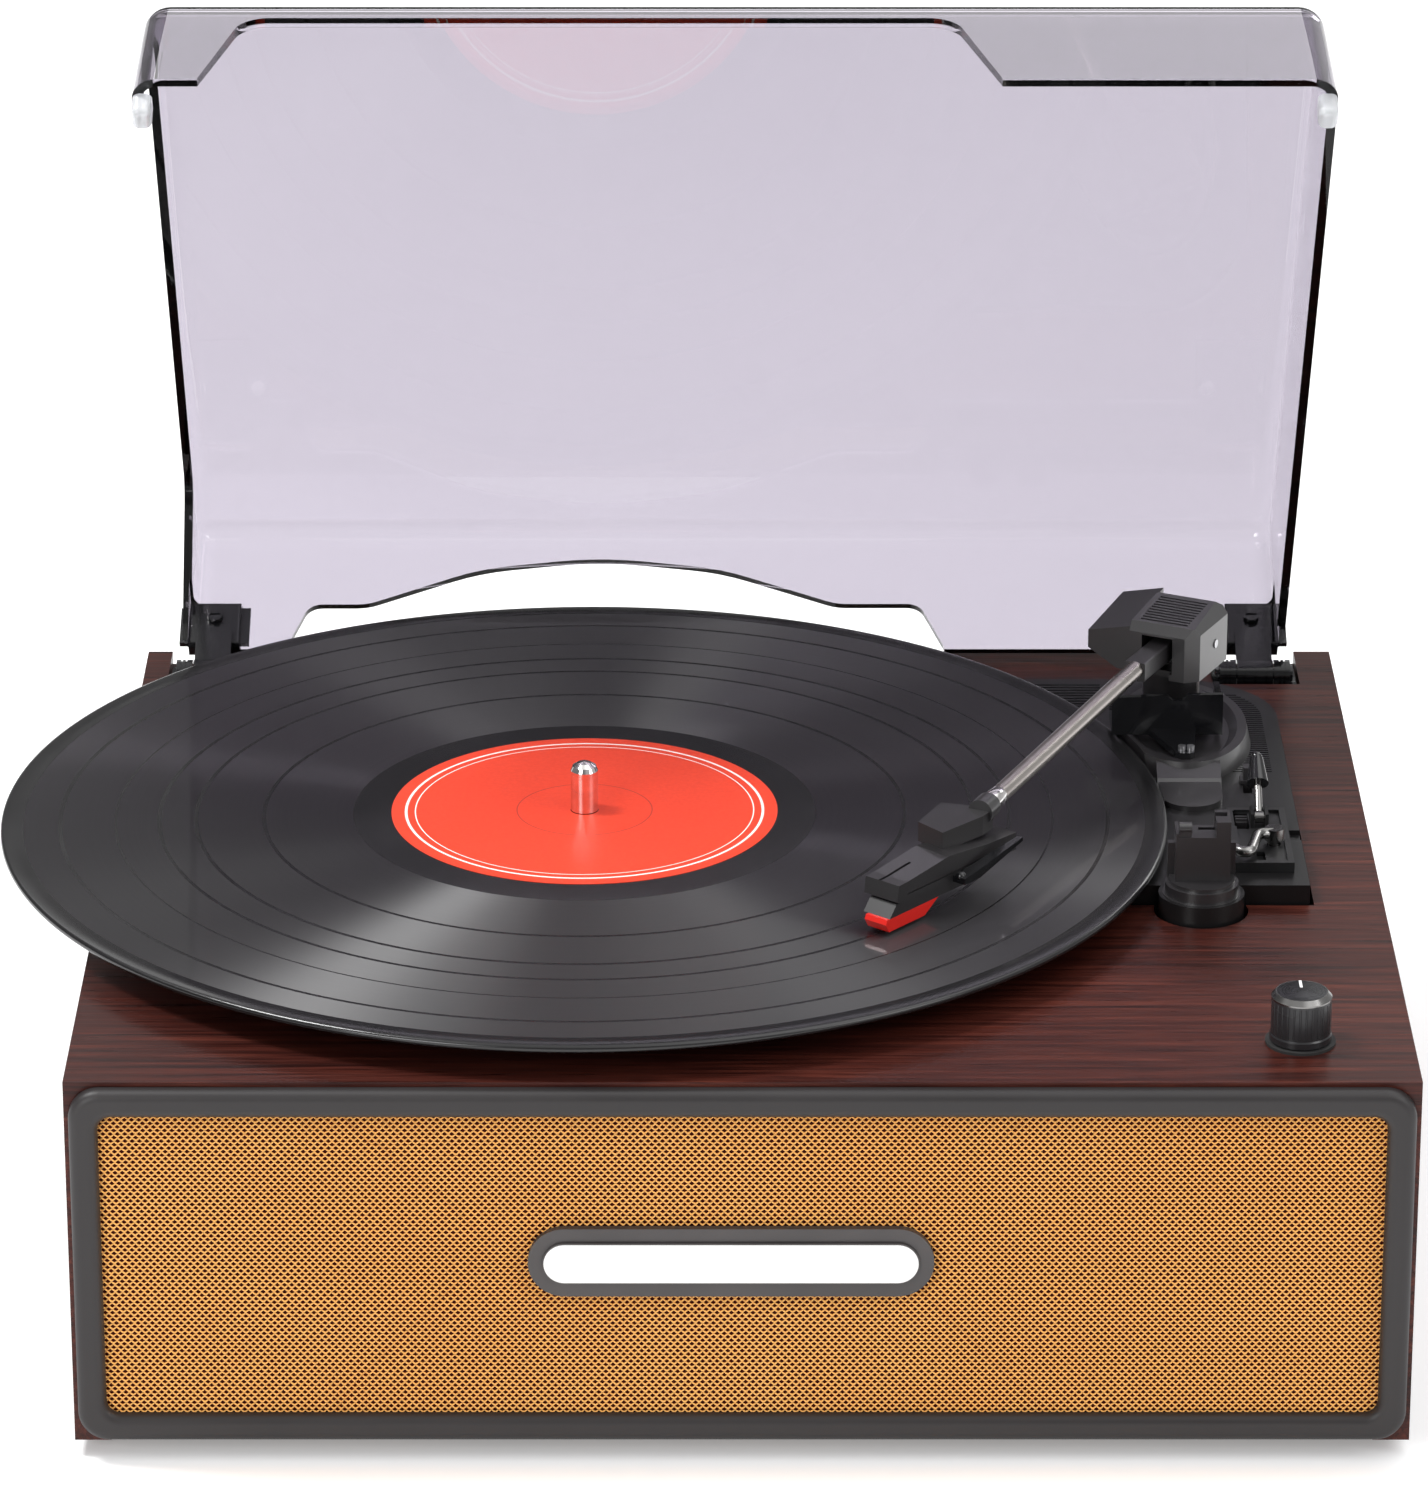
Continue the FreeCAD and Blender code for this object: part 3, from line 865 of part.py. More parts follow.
blocks = []
for x in (S.hingeX, 2 * S.coverMidX - S.hingeX):
    blk = Part.makeBox(14.2, 5.2, 14.4, Vector(x - 7.1, yr - 4.4, zr + 0.0))
    blk = blk.makeFillet(0.8, [e for e in blk.Edges if e.BoundBox.YMax < yr - 4.3])
    lean_in = lambda h: yr - Wt + (h + 6.0) * S.coverLean / (Dc - Wt + 6.0)
    flange = Part.Face(Part.makePolygon([Vector(x - 9.6, lean_in(h) - d, zr + h) for h, d in ((1.0, 0.0), (1.0, 1.6), (14.4, 1.6), (14.4, 0.0), (1.0, 0.0))])).extrude(Vector(19.2, 0, 0))
    neck = Part.makeBox(9.8, 5.4, zr + 4 - (H + S.hingeRise), Vector(x - 4.9, S.hingeY - 1.2, H + S.hingeRise))
    barrel = Part.makeCylinder(3.7, 9.8, Vector(x - 4.9, S.hingeY, H + S.hingeRise), Vector(1, 0, 0))
    leaf_ = blk.fuse([flange, neck, barrel]).cut(Part.makeCylinder(1.56, 12, Vector(x - 6, S.hingeY, H + S.hingeRise), Vector(1, 0, 0)))
    for d in (-3.0, 0.0, 3.0):
        ring_ = Part.makeCylinder(4.2, 0.6, Vector(x + d - 0.3, S.hingeY, H + S.hingeRise), Vector(1, 0, 0)).cut(Part.makeCylinder(3.35, 0.6, Vector(x + d - 0.3, S.hingeY, H + S.hingeRise), Vector(1, 0, 0)))
        leaf_ = leaf_.cut(ring_.cut(Part.makeBox(12, 6, 30, Vector(x - 6, S.hingeY - 1.2, H + S.hingeRise))))
    blocks.append(leaf_.cut(cover))
cover_part("cover_hinge_leaves", Part.makeCompound(blocks + [Part.makeCylinder(2.1, 1.0, Vector(x, yr - 6.0, zr + 9.0), Vector(0, 1, 0)).cut(Part.makeBox(3.0, 0.5, 0.6, Vector(x - 1.5, yr - 6.1, zr + 8.7))) for x in (S.hingeX, 2 * S.coverMidX - S.hingeX)]))

# Soft bumpers under the front corners.
bumps = []
for x in (xl + 0.2, xr - 5.2):
    tip = H + 4.8
    bump = Part.makeBox(5.0, 7.0, zr - tip, Vector(x, yr - Lc + 5.4, tip))
    bump = bump.makeFillet(1.8, [e for e in bump.Edges if e.BoundBox.ZMax < tip + 0.01 or abs(e.BoundBox.ZMax - e.BoundBox.ZMin - (zr - tip)) < 0.01])
    bumps.append(bump)
cover_part("cover_bumpers", Part.makeCompound(bumps))

# ================================================================ checks and export
doc.recompute()
bad = []
for o in doc.Objects:
    if "Invalid" in o.State or "Error" in o.State:
        bad.append("%s (%s) %s" % (o.Name, o.TypeId, o.State))
for name, o in NODES:
    s = o.Shape
    if s.isNull() or not s.isValid() or s.Volume < 0.05 or not s.Solids:
        bad.append("%s: null %s valid %s" % (name, s.isNull(), (not s.isNull()) and s.isValid()))
if bad:
    raise RuntimeError("failed objects: " + "; ".join(bad))
if len({n for n, o in NODES}) != len(NODES):
    raise RuntimeError("two sub-parts share a name")
box_all = None
for name, o in NODES:
    o.Shape.exportStep(os.path.join("parts", name + ".step"))
    if box_all is None:
        box_all = FreeCAD.BoundBox(o.Shape.BoundBox)
    else:
        box_all.add(o.Shape.BoundBox)
print("sub-parts:", len(NODES))
print("box:", [round(v, 3) for v in (box_all.XMin, box_all.XMax, box_all.YMin, box_all.YMax, box_all.ZMin, box_all.ZMax)])
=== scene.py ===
import math
import bpy
import bmesh
from mathutils import Vector, Matrix


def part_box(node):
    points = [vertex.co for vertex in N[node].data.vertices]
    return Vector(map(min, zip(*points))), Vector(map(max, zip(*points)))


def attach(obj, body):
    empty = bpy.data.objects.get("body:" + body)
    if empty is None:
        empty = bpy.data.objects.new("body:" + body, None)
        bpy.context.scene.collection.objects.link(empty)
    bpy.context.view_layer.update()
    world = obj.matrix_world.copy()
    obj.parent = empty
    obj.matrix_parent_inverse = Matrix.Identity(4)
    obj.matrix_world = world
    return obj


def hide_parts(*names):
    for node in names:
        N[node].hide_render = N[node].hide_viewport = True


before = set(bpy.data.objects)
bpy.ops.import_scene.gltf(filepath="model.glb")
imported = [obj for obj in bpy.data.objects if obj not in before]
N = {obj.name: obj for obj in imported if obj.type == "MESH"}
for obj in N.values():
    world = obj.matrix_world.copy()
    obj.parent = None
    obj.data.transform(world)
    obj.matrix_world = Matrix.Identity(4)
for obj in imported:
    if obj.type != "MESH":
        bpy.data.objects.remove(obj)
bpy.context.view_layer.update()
scene = bpy.context.scene

# Cabinet coordinates (mm) to the row frame (m).
OX, OY, FH, H = 13.85, -14.94, 4.0, 96.0


def P(x, y, z):
    return Vector(((x + OX) / 1000, (y + OY) / 1000, (z + FH) / 1000))


# ------------------------------------------------------------------ material helpers

def new_mat(name, base=(0.5, 0.5, 0.5), rough=0.5, metal=0.0, ior=1.5, spec=0.5, coat=0.0, coat_rough=0.1, aniso=0.0, trans=0.0, alpha=1.0, sheen=0.0):
    m = bpy.data.materials.new(name)
    m.use_nodes = True
    nt = m.node_tree
    b = nt.nodes["Principled BSDF"]
    b.inputs["Base Color"].default_value = (*base, 1)
    b.inputs["Roughness"].default_value = rough
    b.inputs["Metallic"].default_value = metal
    b.inputs["IOR"].default_value = ior
    b.inputs["Specular IOR Level"].default_value = spec
    b.inputs["Coat Weight"].default_value = coat
    b.inputs["Coat Roughness"].default_value = coat_rough
    b.inputs["Anisotropic"].default_value = aniso
    b.inputs["Transmission Weight"].default_value = trans
    b.inputs["Alpha"].default_value = alpha
    b.inputs["Sheen Weight"].default_value = sheen
    return m


class G:
    """Small wrapper for wiring a material's nodes."""

    def __init__(self, mat):
        self.nt = mat.node_tree
        self.b = self.nt.nodes["Principled BSDF"]

    def node(self, kind, **props):
        n = self.nt.nodes.new(kind)
        for k, v in props.items():
            setattr(n, k, v)
        return n

    def link(self, a, b):
        self.nt.links.new(a, b)

    def val(self, socket, v):
        if isinstance(v, (int, float)):
            socket.default_value = v
        elif isinstance(v, (tuple, list)):
            socket.default_value = v
        else:
            self.link(v, socket)

    def coords(self, scale=(1, 1, 1), rot=(0, 0, 0), loc=(0, 0, 0)):
        tc = self.node("ShaderNodeTexCoord")
        mp = self.node("ShaderNodeMapping")
        mp.inputs["Scale"].default_value = scale
        mp.inputs["Rotation"].default_value = rot
        mp.inputs["Location"].default_value = loc
        self.link(tc.outputs["Object"], mp.inputs["Vector"])
        return mp.outputs["Vector"]

    def noise(self, vec, scale=5.0, detail=3.0, rough=0.5, distortion=0.0):
        n = self.node("ShaderNodeTexNoise")
        n.inputs["Scale"].default_value = scale
        n.inputs["Detail"].default_value = detail
        n.inputs["Roughness"].default_value = rough
        n.inputs["Distortion"].default_value = distortion
        self.link(vec, n.inputs["Vector"])
        return n.outputs["Fac"]

    def ramp(self, fac, stops):
        r = self.node("ShaderNodeValToRGB")
        els = r.color_ramp.elements
        while len(els) < len(stops):
            els.new(0.5)
        for e, (p, c) in zip(els, stops):
            e.position = p
            e.color = (*c, 1) if len(c) == 3 else c
        self.link(fac, r.inputs["Fac"])
        return r.outputs["Color"]

    def math(self, op, a, b=0.0, clamp=False):
        n = self.node("ShaderNodeMath", operation=op, use_clamp=clamp)
        self.val(n.inputs[0], a)
        self.val(n.inputs[1], b)
        return n.outputs[0]

    def mix(self, fac, a, b, blend="MIX"):
        n = self.node("ShaderNodeMix", data_type="RGBA", blend_type=blend)
        self.val(n.inputs["Factor"], fac)
        for key, v in (("A", a), ("B", b)):
            s = [i for i in n.inputs if i.name == key and i.type == "RGBA"][0]
            self.val(s, v if not isinstance(v, (tuple, list)) else (*v[:3], 1))
        return [o for o in n.outputs if o.type == "RGBA"][0]

    def map_range(self, v, a, b, c, d):
        n = self.node("ShaderNodeMapRange")
        self.link(v, n.inputs["Value"])
        n.inputs["From Min"].default_value = a
        n.inputs["From Max"].default_value = b
        n.inputs["To Min"].default_value = c
        n.inputs["To Max"].default_value = d
        return n.outputs["Result"]

    def bump(self, height, strength=0.2, distance=0.0005, normal=None):
        n = self.node("ShaderNodeBump")
        n.inputs["Strength"].default_value = strength
        n.inputs["Distance"].default_value = distance
        self.link(height, n.inputs["Height"])
        if normal is not None:
            self.link(normal, n.inputs["Normal"])
        self.link(n.outputs["Normal"], self.b.inputs["Normal"])
        return n.outputs["Normal"]


def mix3(a, b, t):
    return tuple(x + (y - x) * t for x, y in zip(a, b))


def moulded(name, base, rough, grain=900.0, bump=0.12, var=0.25, **kw):
    """Moulded plastic: fine grain, faint colour drift, uneven gloss."""
    m = new_mat(name, base, rough, **kw)
    g = G(m)
    v = g.coords()
    big = g.noise(v, 28.0, 3.0)
    fine = g.noise(v, grain, 4.0, 0.6)
    lo, hi = tuple(c * (1 - var) for c in base), tuple(min(1, c * (1 + var)) for c in base)
    g.link(g.ramp(big, [(0.3, lo), (0.7, hi)]), g.b.inputs["Base Color"])
    g.link(g.map_range(big, 0.3, 0.7, max(0.02, rough - 0.03), min(1, rough + 0.05)), g.b.inputs["Roughness"])
    g.bump(fine, bump, 0.00006)
    return m


def metal(name, base, rough, along=(1, 1, 1), scale=400.0, bump=0.05, **kw):
    m = new_mat(name, base, rough, metal=1.0, **kw)
    g = G(m)
    v = g.coords(scale=along)
    f = g.noise(v, scale, 3.0, 0.6)
    g.link(g.ramp(f, [(0.3, tuple(c * 0.86 for c in base)), (0.7, tuple(min(1, c * 1.08) for c in base))]), g.b.inputs["Base Color"])
    g.link(g.map_range(f, 0.3, 0.7, max(0.03, rough - 0.05), rough + 0.07), g.b.inputs["Roughness"])
    g.bump(f, bump, 0.00005)
    return m


def wood(name, axis, lights=1.0):
    """Dark red-brown veneer with its grain along one axis and a thin satin lacquer; its colours are scaled by a painted
    light and shade factor, so each copy is a lit or shaded version of the same veneer.
    """
    m = new_mat(name, (0.1, 0.03, 0.02), 0.38, spec=0.24, coat=0.02, coat_rough=0.2)
    g = G(m)
    long, short = 16.0, 420.0
    scale = {"X": (long, short, short), "Y": (short, long, short)}[axis]
    v = g.coords(scale=scale)
    warp = g.noise(g.coords(scale={"X": (6, 20, 20), "Y": (20, 6, 20)}[axis]), 1.0, 2.0)
    streak = g.noise(v, 1.0, 8.0, 0.62, 0.6)
    fine = g.noise(g.coords(scale={"X": (30, 900, 900), "Y": (900, 30, 900)}[axis]), 1.0, 3.0, 0.6)
    pores = g.noise(g.coords(scale={"X": (60, 2200, 2200), "Y": (2200, 60, 2200)}[axis]), 1.0, 2.0, 0.5)
    mixed = g.math("ADD", g.math("MULTIPLY", streak, 0.50), g.math("MULTIPLY", fine, 0.30))
    mixed = g.math("ADD", mixed, g.math("MULTIPLY", warp, 0.20))
    # painted light and shade: all veneer colours are scaled brighter or darker together by this factor
    L = lights
    col = g.ramp(mixed, [(0.40, (0.020 * L, 0.0046 * L, 0.0036 * L)), (0.47, (0.044 * L, 0.0092 * L, 0.0062 * L)), (0.54, (0.070 * L, 0.0150 * L, 0.0096 * L)), (0.62, (0.116 * L, 0.0270 * L, 0.0160 * L))])
    dark = g.math("LESS_THAN", pores, 0.40)
    g.link(g.mix(g.math("MULTIPLY", dark, 0.45), col, (0.010, 0.0034, 0.0030)), g.b.inputs["Base Color"])
    g.link(g.map_range(fine, 0.3, 0.7, 0.26, 0.46), g.b.inputs["Roughness"])
    g.bump(g.math("ADD", fine, g.math("MULTIPLY", pores, 0.8)), 0.10, 0.00015)
    return m


M = {}
# painted light and shade: the top is painted darker (0.84) and the sides lighter (1.15) than one and the same veneer
M["wood_top"] = wood("wood_top", "X", 0.84)
M["wood_side"] = wood("wood_side", "Y", 1.15)
M["board"] = moulded("board", (0.10, 0.065, 0.045), 0.75, grain=300, var=0.3, bump=0.3)
M["frame"] = moulded("frame", (0.021, 0.0185, 0.0190), 0.44, grain=700, bump=0.03, var=0.08, spec=0.4)
M["deck"] = moulded("deck", (0.006, 0.0056, 0.006), 0.36, grain=1500, bump=0.03, var=0.12, spec=0.35, coat=0.2, coat_rough=0.15)
M["gloss"] = moulded("gloss", (0.006, 0.006, 0.007), 0.10, grain=500, bump=0.004, var=0.1, spec=0.6)
M["satin_black"] = moulded("satin_black", (0.0155, 0.0142, 0.0155), 0.33, grain=1400, bump=0.006, var=0.10, spec=0.8, coat=0.35, coat_rough=0.12)
M["panel"] = moulded("panel", (0.009, 0.009, 0.0095), 0.36, grain=1300, bump=0.03, var=0.12)
M["rubber"] = moulded("rubber", (0.02, 0.02, 0.02), 0.75, grain=900, bump=0.3)
M["badge"] = moulded("badge", (0.045, 0.040, 0.040), 0.35, grain=600, bump=0.08)
M["badge_face"] = moulded("badge_face", (0.80, 0.80, 0.80), 0.30, grain=500, bump=0.05, var=0.03)
M["screw"] = metal("screw", (0.55, 0.55, 0.57), 0.32)
M["alu"] = metal("alu", (0.42, 0.42, 0.43), 0.38)
M["chrome"] = metal("chrome", (0.80, 0.78, 0.77), 0.10, bump=0.01)
M["tube"] = metal("tube", (0.46, 0.425, 0.40), 0.27, scale=9, bump=0.0)
M["hook"] = metal("hook", (0.24, 0.235, 0.23), 0.18, scale=60, bump=0.0)
M["cone"] = moulded("cone", (0.03, 0.03, 0.03), 0.8, grain=600, bump=0.5)
M["pcb"] = moulded("pcb", (0.03, 0.14, 0.06), 0.45, grain=300)
M["platter"] = metal("platter", (0.06, 0.06, 0.065), 0.35)
M["red"] = moulded("red", (0.72, 0.018, 0.012), 0.22, grain=500, bump=0.04, var=0.10, spec=0.5, coat=0.3)
M["needle"] = metal("needle", (0.7, 0.7, 0.7), 0.2)
M["bumper"] = moulded("bumper", (0.88, 0.90, 0.92), 0.22, grain=400, bump=0.03, var=0.03, trans=0.5)
M["knob_side"] = moulded("knob_side", (0.020, 0.020, 0.022), 0.26, grain=900, bump=0.08)

# Brushed top of the knob: fine rings round its axis.
mk = new_mat("knob_top", (0.05, 0.05, 0.053), 0.34, metal=0.9, aniso=0.5)
g = G(mk)
kc = P(135.8, -121.0, 0)
v = g.coords(loc=(-kc.x, -kc.y, 0))
sep = g.node("ShaderNodeSeparateXYZ")
g.link(v, sep.inputs[0])
rad = g.math("SQRT", g.math("ADD", g.math("MULTIPLY", sep.outputs[0], sep.outputs[0]), g.math("MULTIPLY", sep.outputs[1], sep.outputs[1])))
rings = g.math("SINE", g.math("MULTIPLY", rad, 9000.0))
g.link(g.map_range(rings, -1, 1, 0.24, 0.42), g.b.inputs["Roughness"])
g.link(g.ramp(g.noise(g.coords(scale=(1, 1, 1)), 600, 2), [(0.3, (0.035, 0.035, 0.038)), (0.7, (0.060, 0.060, 0.064))]), g.b.inputs["Base Color"])
g.bump(rings, 0.08, 0.00004)
M["knob_top"] = mk

# Vinyl: grooves catch light across their run.
VINYL_ROT = 0.25
PX, PY = -40.4, 6.6
pc = P(PX, PY, 0)
mv = new_mat("vinyl", (0.010, 0.0088, 0.0102), 0.50, spec=1.0, aniso=1.0, coat=0.45, coat_rough=0.05)
g = G(mv)
v = g.coords(loc=(-pc.x, -pc.y, 0))
sep = g.node("ShaderNodeSeparateXYZ")
g.link(v, sep.inputs[0])
rad = g.math("SQRT", g.math("ADD", g.math("MULTIPLY", sep.outputs[0], sep.outputs[0]), g.math("MULTIPLY", sep.outputs[1], sep.outputs[1])))
comb = g.node("ShaderNodeCombineXYZ")
g.link(g.math("MULTIPLY", rad, 1000.0), comb.inputs[0])
music = g.noise(comb.outputs[0], 0.9, 6.0, 0.75)
g.link(g.map_range(music, 0.25, 0.75, 0.46, 0.53), g.b.inputs["Roughness"])
g.link(g.ramp(music, [(0.25, (0.0060, 0.0048, 0.0064)), (0.75, (0.0100, 0.0082, 0.0106))]), g.b.inputs["Base Color"])
tan = g.node("ShaderNodeTangent", direction_type="RADIAL", axis="Z")
g.link(tan.outputs[0], g.b.inputs["Tangent"])
g.b.inputs["Anisotropic Rotation"].default_value = VINYL_ROT
M["vinyl"] = mv
M["vinyl_smooth"] = moulded("vinyl_smooth", (0.010, 0.0095, 0.0102), 0.20, grain=300, bump=0.005, var=0.1, spec=0.5)

# Record label: paper with plain printed rings.
ml = new_mat("label", (0.90, 0.09, 0.035), 0.42, spec=0.4)
g = G(ml)
v = g.coords(loc=(-pc.x, -pc.y, 0))
sep = g.node("ShaderNodeSeparateXYZ")
g.link(v, sep.inputs[0])
rad = g.math("MULTIPLY", g.math("SQRT", g.math("ADD", g.math("MULTIPLY", sep.outputs[0], sep.outputs[0]), g.math("MULTIPLY", sep.outputs[1], sep.outputs[1]))), 1000.0)


def ring(at, half):
    return g.math("LESS_THAN", g.math("ABSOLUTE", g.math("SUBTRACT", rad, at)), half)


paper = g.ramp(g.noise(g.coords(), 900, 3), [(0.3, (0.74, 0.046, 0.016)), (0.7, (0.80, 0.060, 0.022))])
col = g.mix(ring(46.2, 0.35), paper, (0.93, 0.86, 0.80))
col = g.mix(ring(43.8, 0.16), col, (0.93, 0.86, 0.80))
col = g.mix(ring(17.5, 0.14), col, (0.42, 0.03, 0.02))
g.link(col, g.b.inputs["Base Color"])
g.bump(g.noise(g.coords(), 1500, 3), 0.05, 0.0001)
M["label"] = ml

# Smoked clear cover.
ms = new_mat("smoke", (0.70, 0.67, 0.735), 0.012, spec=0.5, trans=1.0, ior=1.46)
g = G(ms)
g.link(g.ramp(g.noise(g.coords(), 6, 2), [(0.3, (0.448, 0.416, 0.480)), (0.7, (0.456, 0.424, 0.488))]), g.b.inputs["Base Color"])
M["smoke"] = ms

# Grille threads, and a dark red-brown sheet behind them that paints the shade seen through the holes.
mt = new_mat("threads", (0.85, 0.45, 0.13), 0.48, spec=0.4, sheen=0.15)
g = G(mt)
v = g.coords()
big = g.noise(v, 22, 3)
fib = g.noise(g.coords(scale=(1, 1, 1)), 2600, 3, 0.6)
c1 = g.ramp(big, [(0.3, (0.97, 0.47, 0.105)), (0.7, (0.99, 0.52, 0.130))])
g.link(g.mix(g.map_range(fib, 0.35, 0.65, 0.0, 0.30), c1, (0.97, 0.62, 0.27)), g.b.inputs["Base Color"])
g.bump(fib, 0.25, 0.0001)
M["threads"] = mt
# painted shade: dark red-brown colour standing in for the shade inside the grille holes
M["painted_hole_shade"] = moulded("painted_hole_shade", (0.045, 0.006, 0.003), 0.9, grain=900, bump=0.1, var=0.1, spec=0.1)

NODE_MAT = {
    "cabinet_top_board": "wood_top", "cabinet_left_board": "wood_side", "cabinet_right_board": "wood_side",
    "cabinet_bottom_board": "board", "cabinet_rear_board": "board", "speaker_baffle": "board",
    "grille_frame": "frame", "grille_badge": "badge", "rubber_feet": "rubber", "fastening_screws": "screw",
    "deck_plate": "deck", "deck_clamps": "deck", "platter_bearing": "alu", "drive_motor": "alu", "drive_belt": "rubber",
    "arm_base": "satin_black", "arm_bush": "alu", "arm_shield": "gloss", "arm_rest": "satin_black", "control_panel": "panel",
    "switch_bodies": "panel", "speaker_baskets": "alu", "speaker_cones": "cone", "amplifier_board": "pcb",
    "rear_jack_plate": "panel", "line_out_sockets": "chrome", "aux_in_socket": "gloss", "power_inlet": "gloss",
    "volume_potentiometer": "alu", "volume_washer": "rubber", "hinge_bases": "gloss", "hinge_pins": "gloss",
    "platter": "platter", "spindle": "chrome", "platter_mat": "rubber", "record": "vinyl", "record_label": "label",
    "motor_pulley": "alu", "arm_housing": "satin_black", "arm_pivot_screws": "screw", "arm_turret": "satin_black",
    "arm_carrier": "satin_black", "arm_tube": "tube", "arm_coupling": "satin_black", "headshell": "satin_black", "finger_lift": "gloss",
    "cartridge": "satin_black", "stylus_holder": "red", "stylus_needle": "needle", "arm_lifter": "screw",
    "cue_lever": "hook", "cue_lever_grip": "gloss", "arm_hook_lever": "hook", "speed_switch": "satin_black",
    "auto_stop_switch": "satin_black", "volume_knob": "knob_side", "dust_cover": "smoke", "cover_hinge_leaves": "gloss",
    "cover_bumpers": "bumper", "grille_cloth": "painted_hole_shade",
}
for name, o in N.items():
    o.data.materials.clear()
    o.data.materials.append(M[NODE_MAT[name]])
    if name in ("record", "arm_tube", "spindle", "volume_knob", "dust_cover", "arm_base"):
        pass


def soft_edges(name, width, segments=2, angle=35):
    o = N[name]
    bev = o.modifiers.new("Bevel", "BEVEL")
    bev.width = width
    bev.segments = segments
    bev.limit_method = "ANGLE"
    bev.angle_limit = math.radians(angle)
    bev.harden_normals = False


for name, w in (("arm_housing", 0.00035), ("arm_coupling", 0.0003), ("headshell", 0.00025), ("arm_shield", 0.00025), ("control_panel", 0.0002), ("arm_rest", 0.0003), ("cartridge", 0.0002),
                ("stylus_holder", 0.0003), ("cabinet_top_board", 0.0003), ("cabinet_left_board", 0.0003), ("cabinet_right_board", 0.0003), ("cover_hinge_leaves", 0.00025)):
    soft_edges(name, w)


def add(name, verts, faces, mat, body, smooth=True, angle=40):
    me = bpy.data.meshes.new(name)
    me.from_pydata([tuple(p) for p in verts], [], faces)
    me.validate()
    me.update()
    o = bpy.data.objects.new(name, me)
    bpy.context.collection.objects.link(o)
    if mat:
        me.materials.append(M[mat])
    bm = bmesh.new()
    bm.from_mesh(me)
    bmesh.ops.recalc_face_normals(bm, faces=bm.faces)
    bm.to_mesh(me)
    bm.free()
    if smooth:
        for p in me.polygons:
            p.use_smooth = True
        me.set_sharp_from_angle(angle=math.radians(angle))
    if body:
        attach(o, body)
    return o


def spun(profile, centre, n=96):
    """Closed ring body from an outline of (radius, height) in mm about an upright axis."""
    verts, faces = [], []
    m = len(profile)
    for i in range(n):
        a = 2 * math.pi * i / n
        for r, z in profile:
            verts.append(P(centre[0] + r * math.cos(a), centre[1] + r * math.sin(a), z))
    for i in range(n):
        j = (i + 1) % n
        for k in range(m):
            l = (k + 1) % m
            faces.append((i * m + k, j * m + k, j * m + l, i * m + l))
    return verts, faces


# ------------------------------------------------------------------ record with cut bands
RT = H + 9.0
gaps = [145.7, 135.5, 121.1, 109.9, 100.2, 82.8, 59.2]
prof = [(3.6, RT - 1.9), (3.6, RT), (50.6, RT), (52.0, RT - 0.10), (58.6, RT - 0.12)]
r = 59.4
while r < 145.4:
    near = min(abs(r - q) for q in gaps)
    prof.append((r, RT - (0.185 if near < 0.30 else 0.20)))
    r += 0.5
prof += [(145.9, RT - 0.12), (146.8, RT - 0.02), (149.8, RT - 0.02), (150.5, RT - 0.25), (150.75, RT - 0.7), (150.75, RT - 1.3), (150.4, RT - 1.8), (149.8, RT - 1.9)]
verts, faces = spun(prof, (PX, PY), 224)
rec = add("record_disc", verts, faces, "vinyl", "platter", angle=50)
rec.data.materials.append(M["vinyl_smooth"])
for p in rec.data.polygons:
    c = p.center
    rr = math.hypot(c.x - pc.x, c.y - pc.y) * 1000
    if rr < 59.2 or rr > 145.9 or min(abs(rr - q) for q in gaps) < 0.45:
        p.material_index = 1
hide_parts("record")

# ------------------------------------------------------------------ woven grille
fx, fz0, fz1 = 163.5 - 1.2, 1.2, H - 1.2
gx0, gx1, gz0, gz1 = -fx + 7 - 1.4, fx - 7 + 1.4, fz0 + 7 - 1.4, fz1 - 7 + 1.4
yb = -145.0
pitch, rise = 1.75, 1.84
nx, nz = int((gx1 - gx0) / pitch), int((gz1 - gz0) / rise)
pitch, rise = (gx1 - gx0) / nx, (gz1 - gz0) / nz
verts, faces, index = [], [], {}


def gv(x, y, z):
    key = (round(x * 500), round(y * 500), round(z * 500))
    if key not in index:
        index[key] = len(verts)
        verts.append(P(x, y, z))
    return index[key]


for j in range(2 * nz + 1):
    for i in range(nx + 1):
        cx = gx0 + (i + (0.5 if j % 2 else 0.0)) * pitch
        cz = gz0 + j * rise / 2
        if cx > gx1 - pitch * 0.4 or cx < gx0 + pitch * 0.4 or cz < gz0 + rise * 0.4 or cz > gz1 - rise * 0.4:
            continue
        hp, hr = pitch / 2, rise / 2
        outer, mid, inner = [], [], []
        for k in range(8):
            a = k * math.pi / 4
            if k % 2 == 0:
                ox, oz = hp * math.cos(a), hr * math.sin(a)
            else:
                ox, oz = 0.5 * hp * (1 if math.cos(a) > 0 else -1), 0.5 * hr * (1 if math.sin(a) > 0 else -1)
            # threads rise over one another: crossings stand proud on alternate corners
            lift = -1.02 if k % 4 == 0 else (-0.86 if k % 2 == 0 else -0.98)
            outer.append(gv(cx + ox, yb + lift, cz + oz))
            s1 = 0.93 if k % 4 == 0 else (0.78 if k % 2 == 0 else 0.86)
            mid.append(gv(cx + ox * s1, yb + lift + 0.10, cz + oz * s1))
            s2 = 0.86 if k % 4 == 0 else (0.56 if k % 2 == 0 else 0.72)
            inner.append(gv(cx + ox * s2, yb - 0.50, cz + oz * s2))
        for k in range(8):
            l = (k + 1) % 8
            faces.append((outer[k], outer[l], mid[l], mid[k]))
            faces.append((mid[k], mid[l], inner[l], inner[k]))
cloth = add("grille_weave", verts, faces, "threads", "cabinet", angle=180)
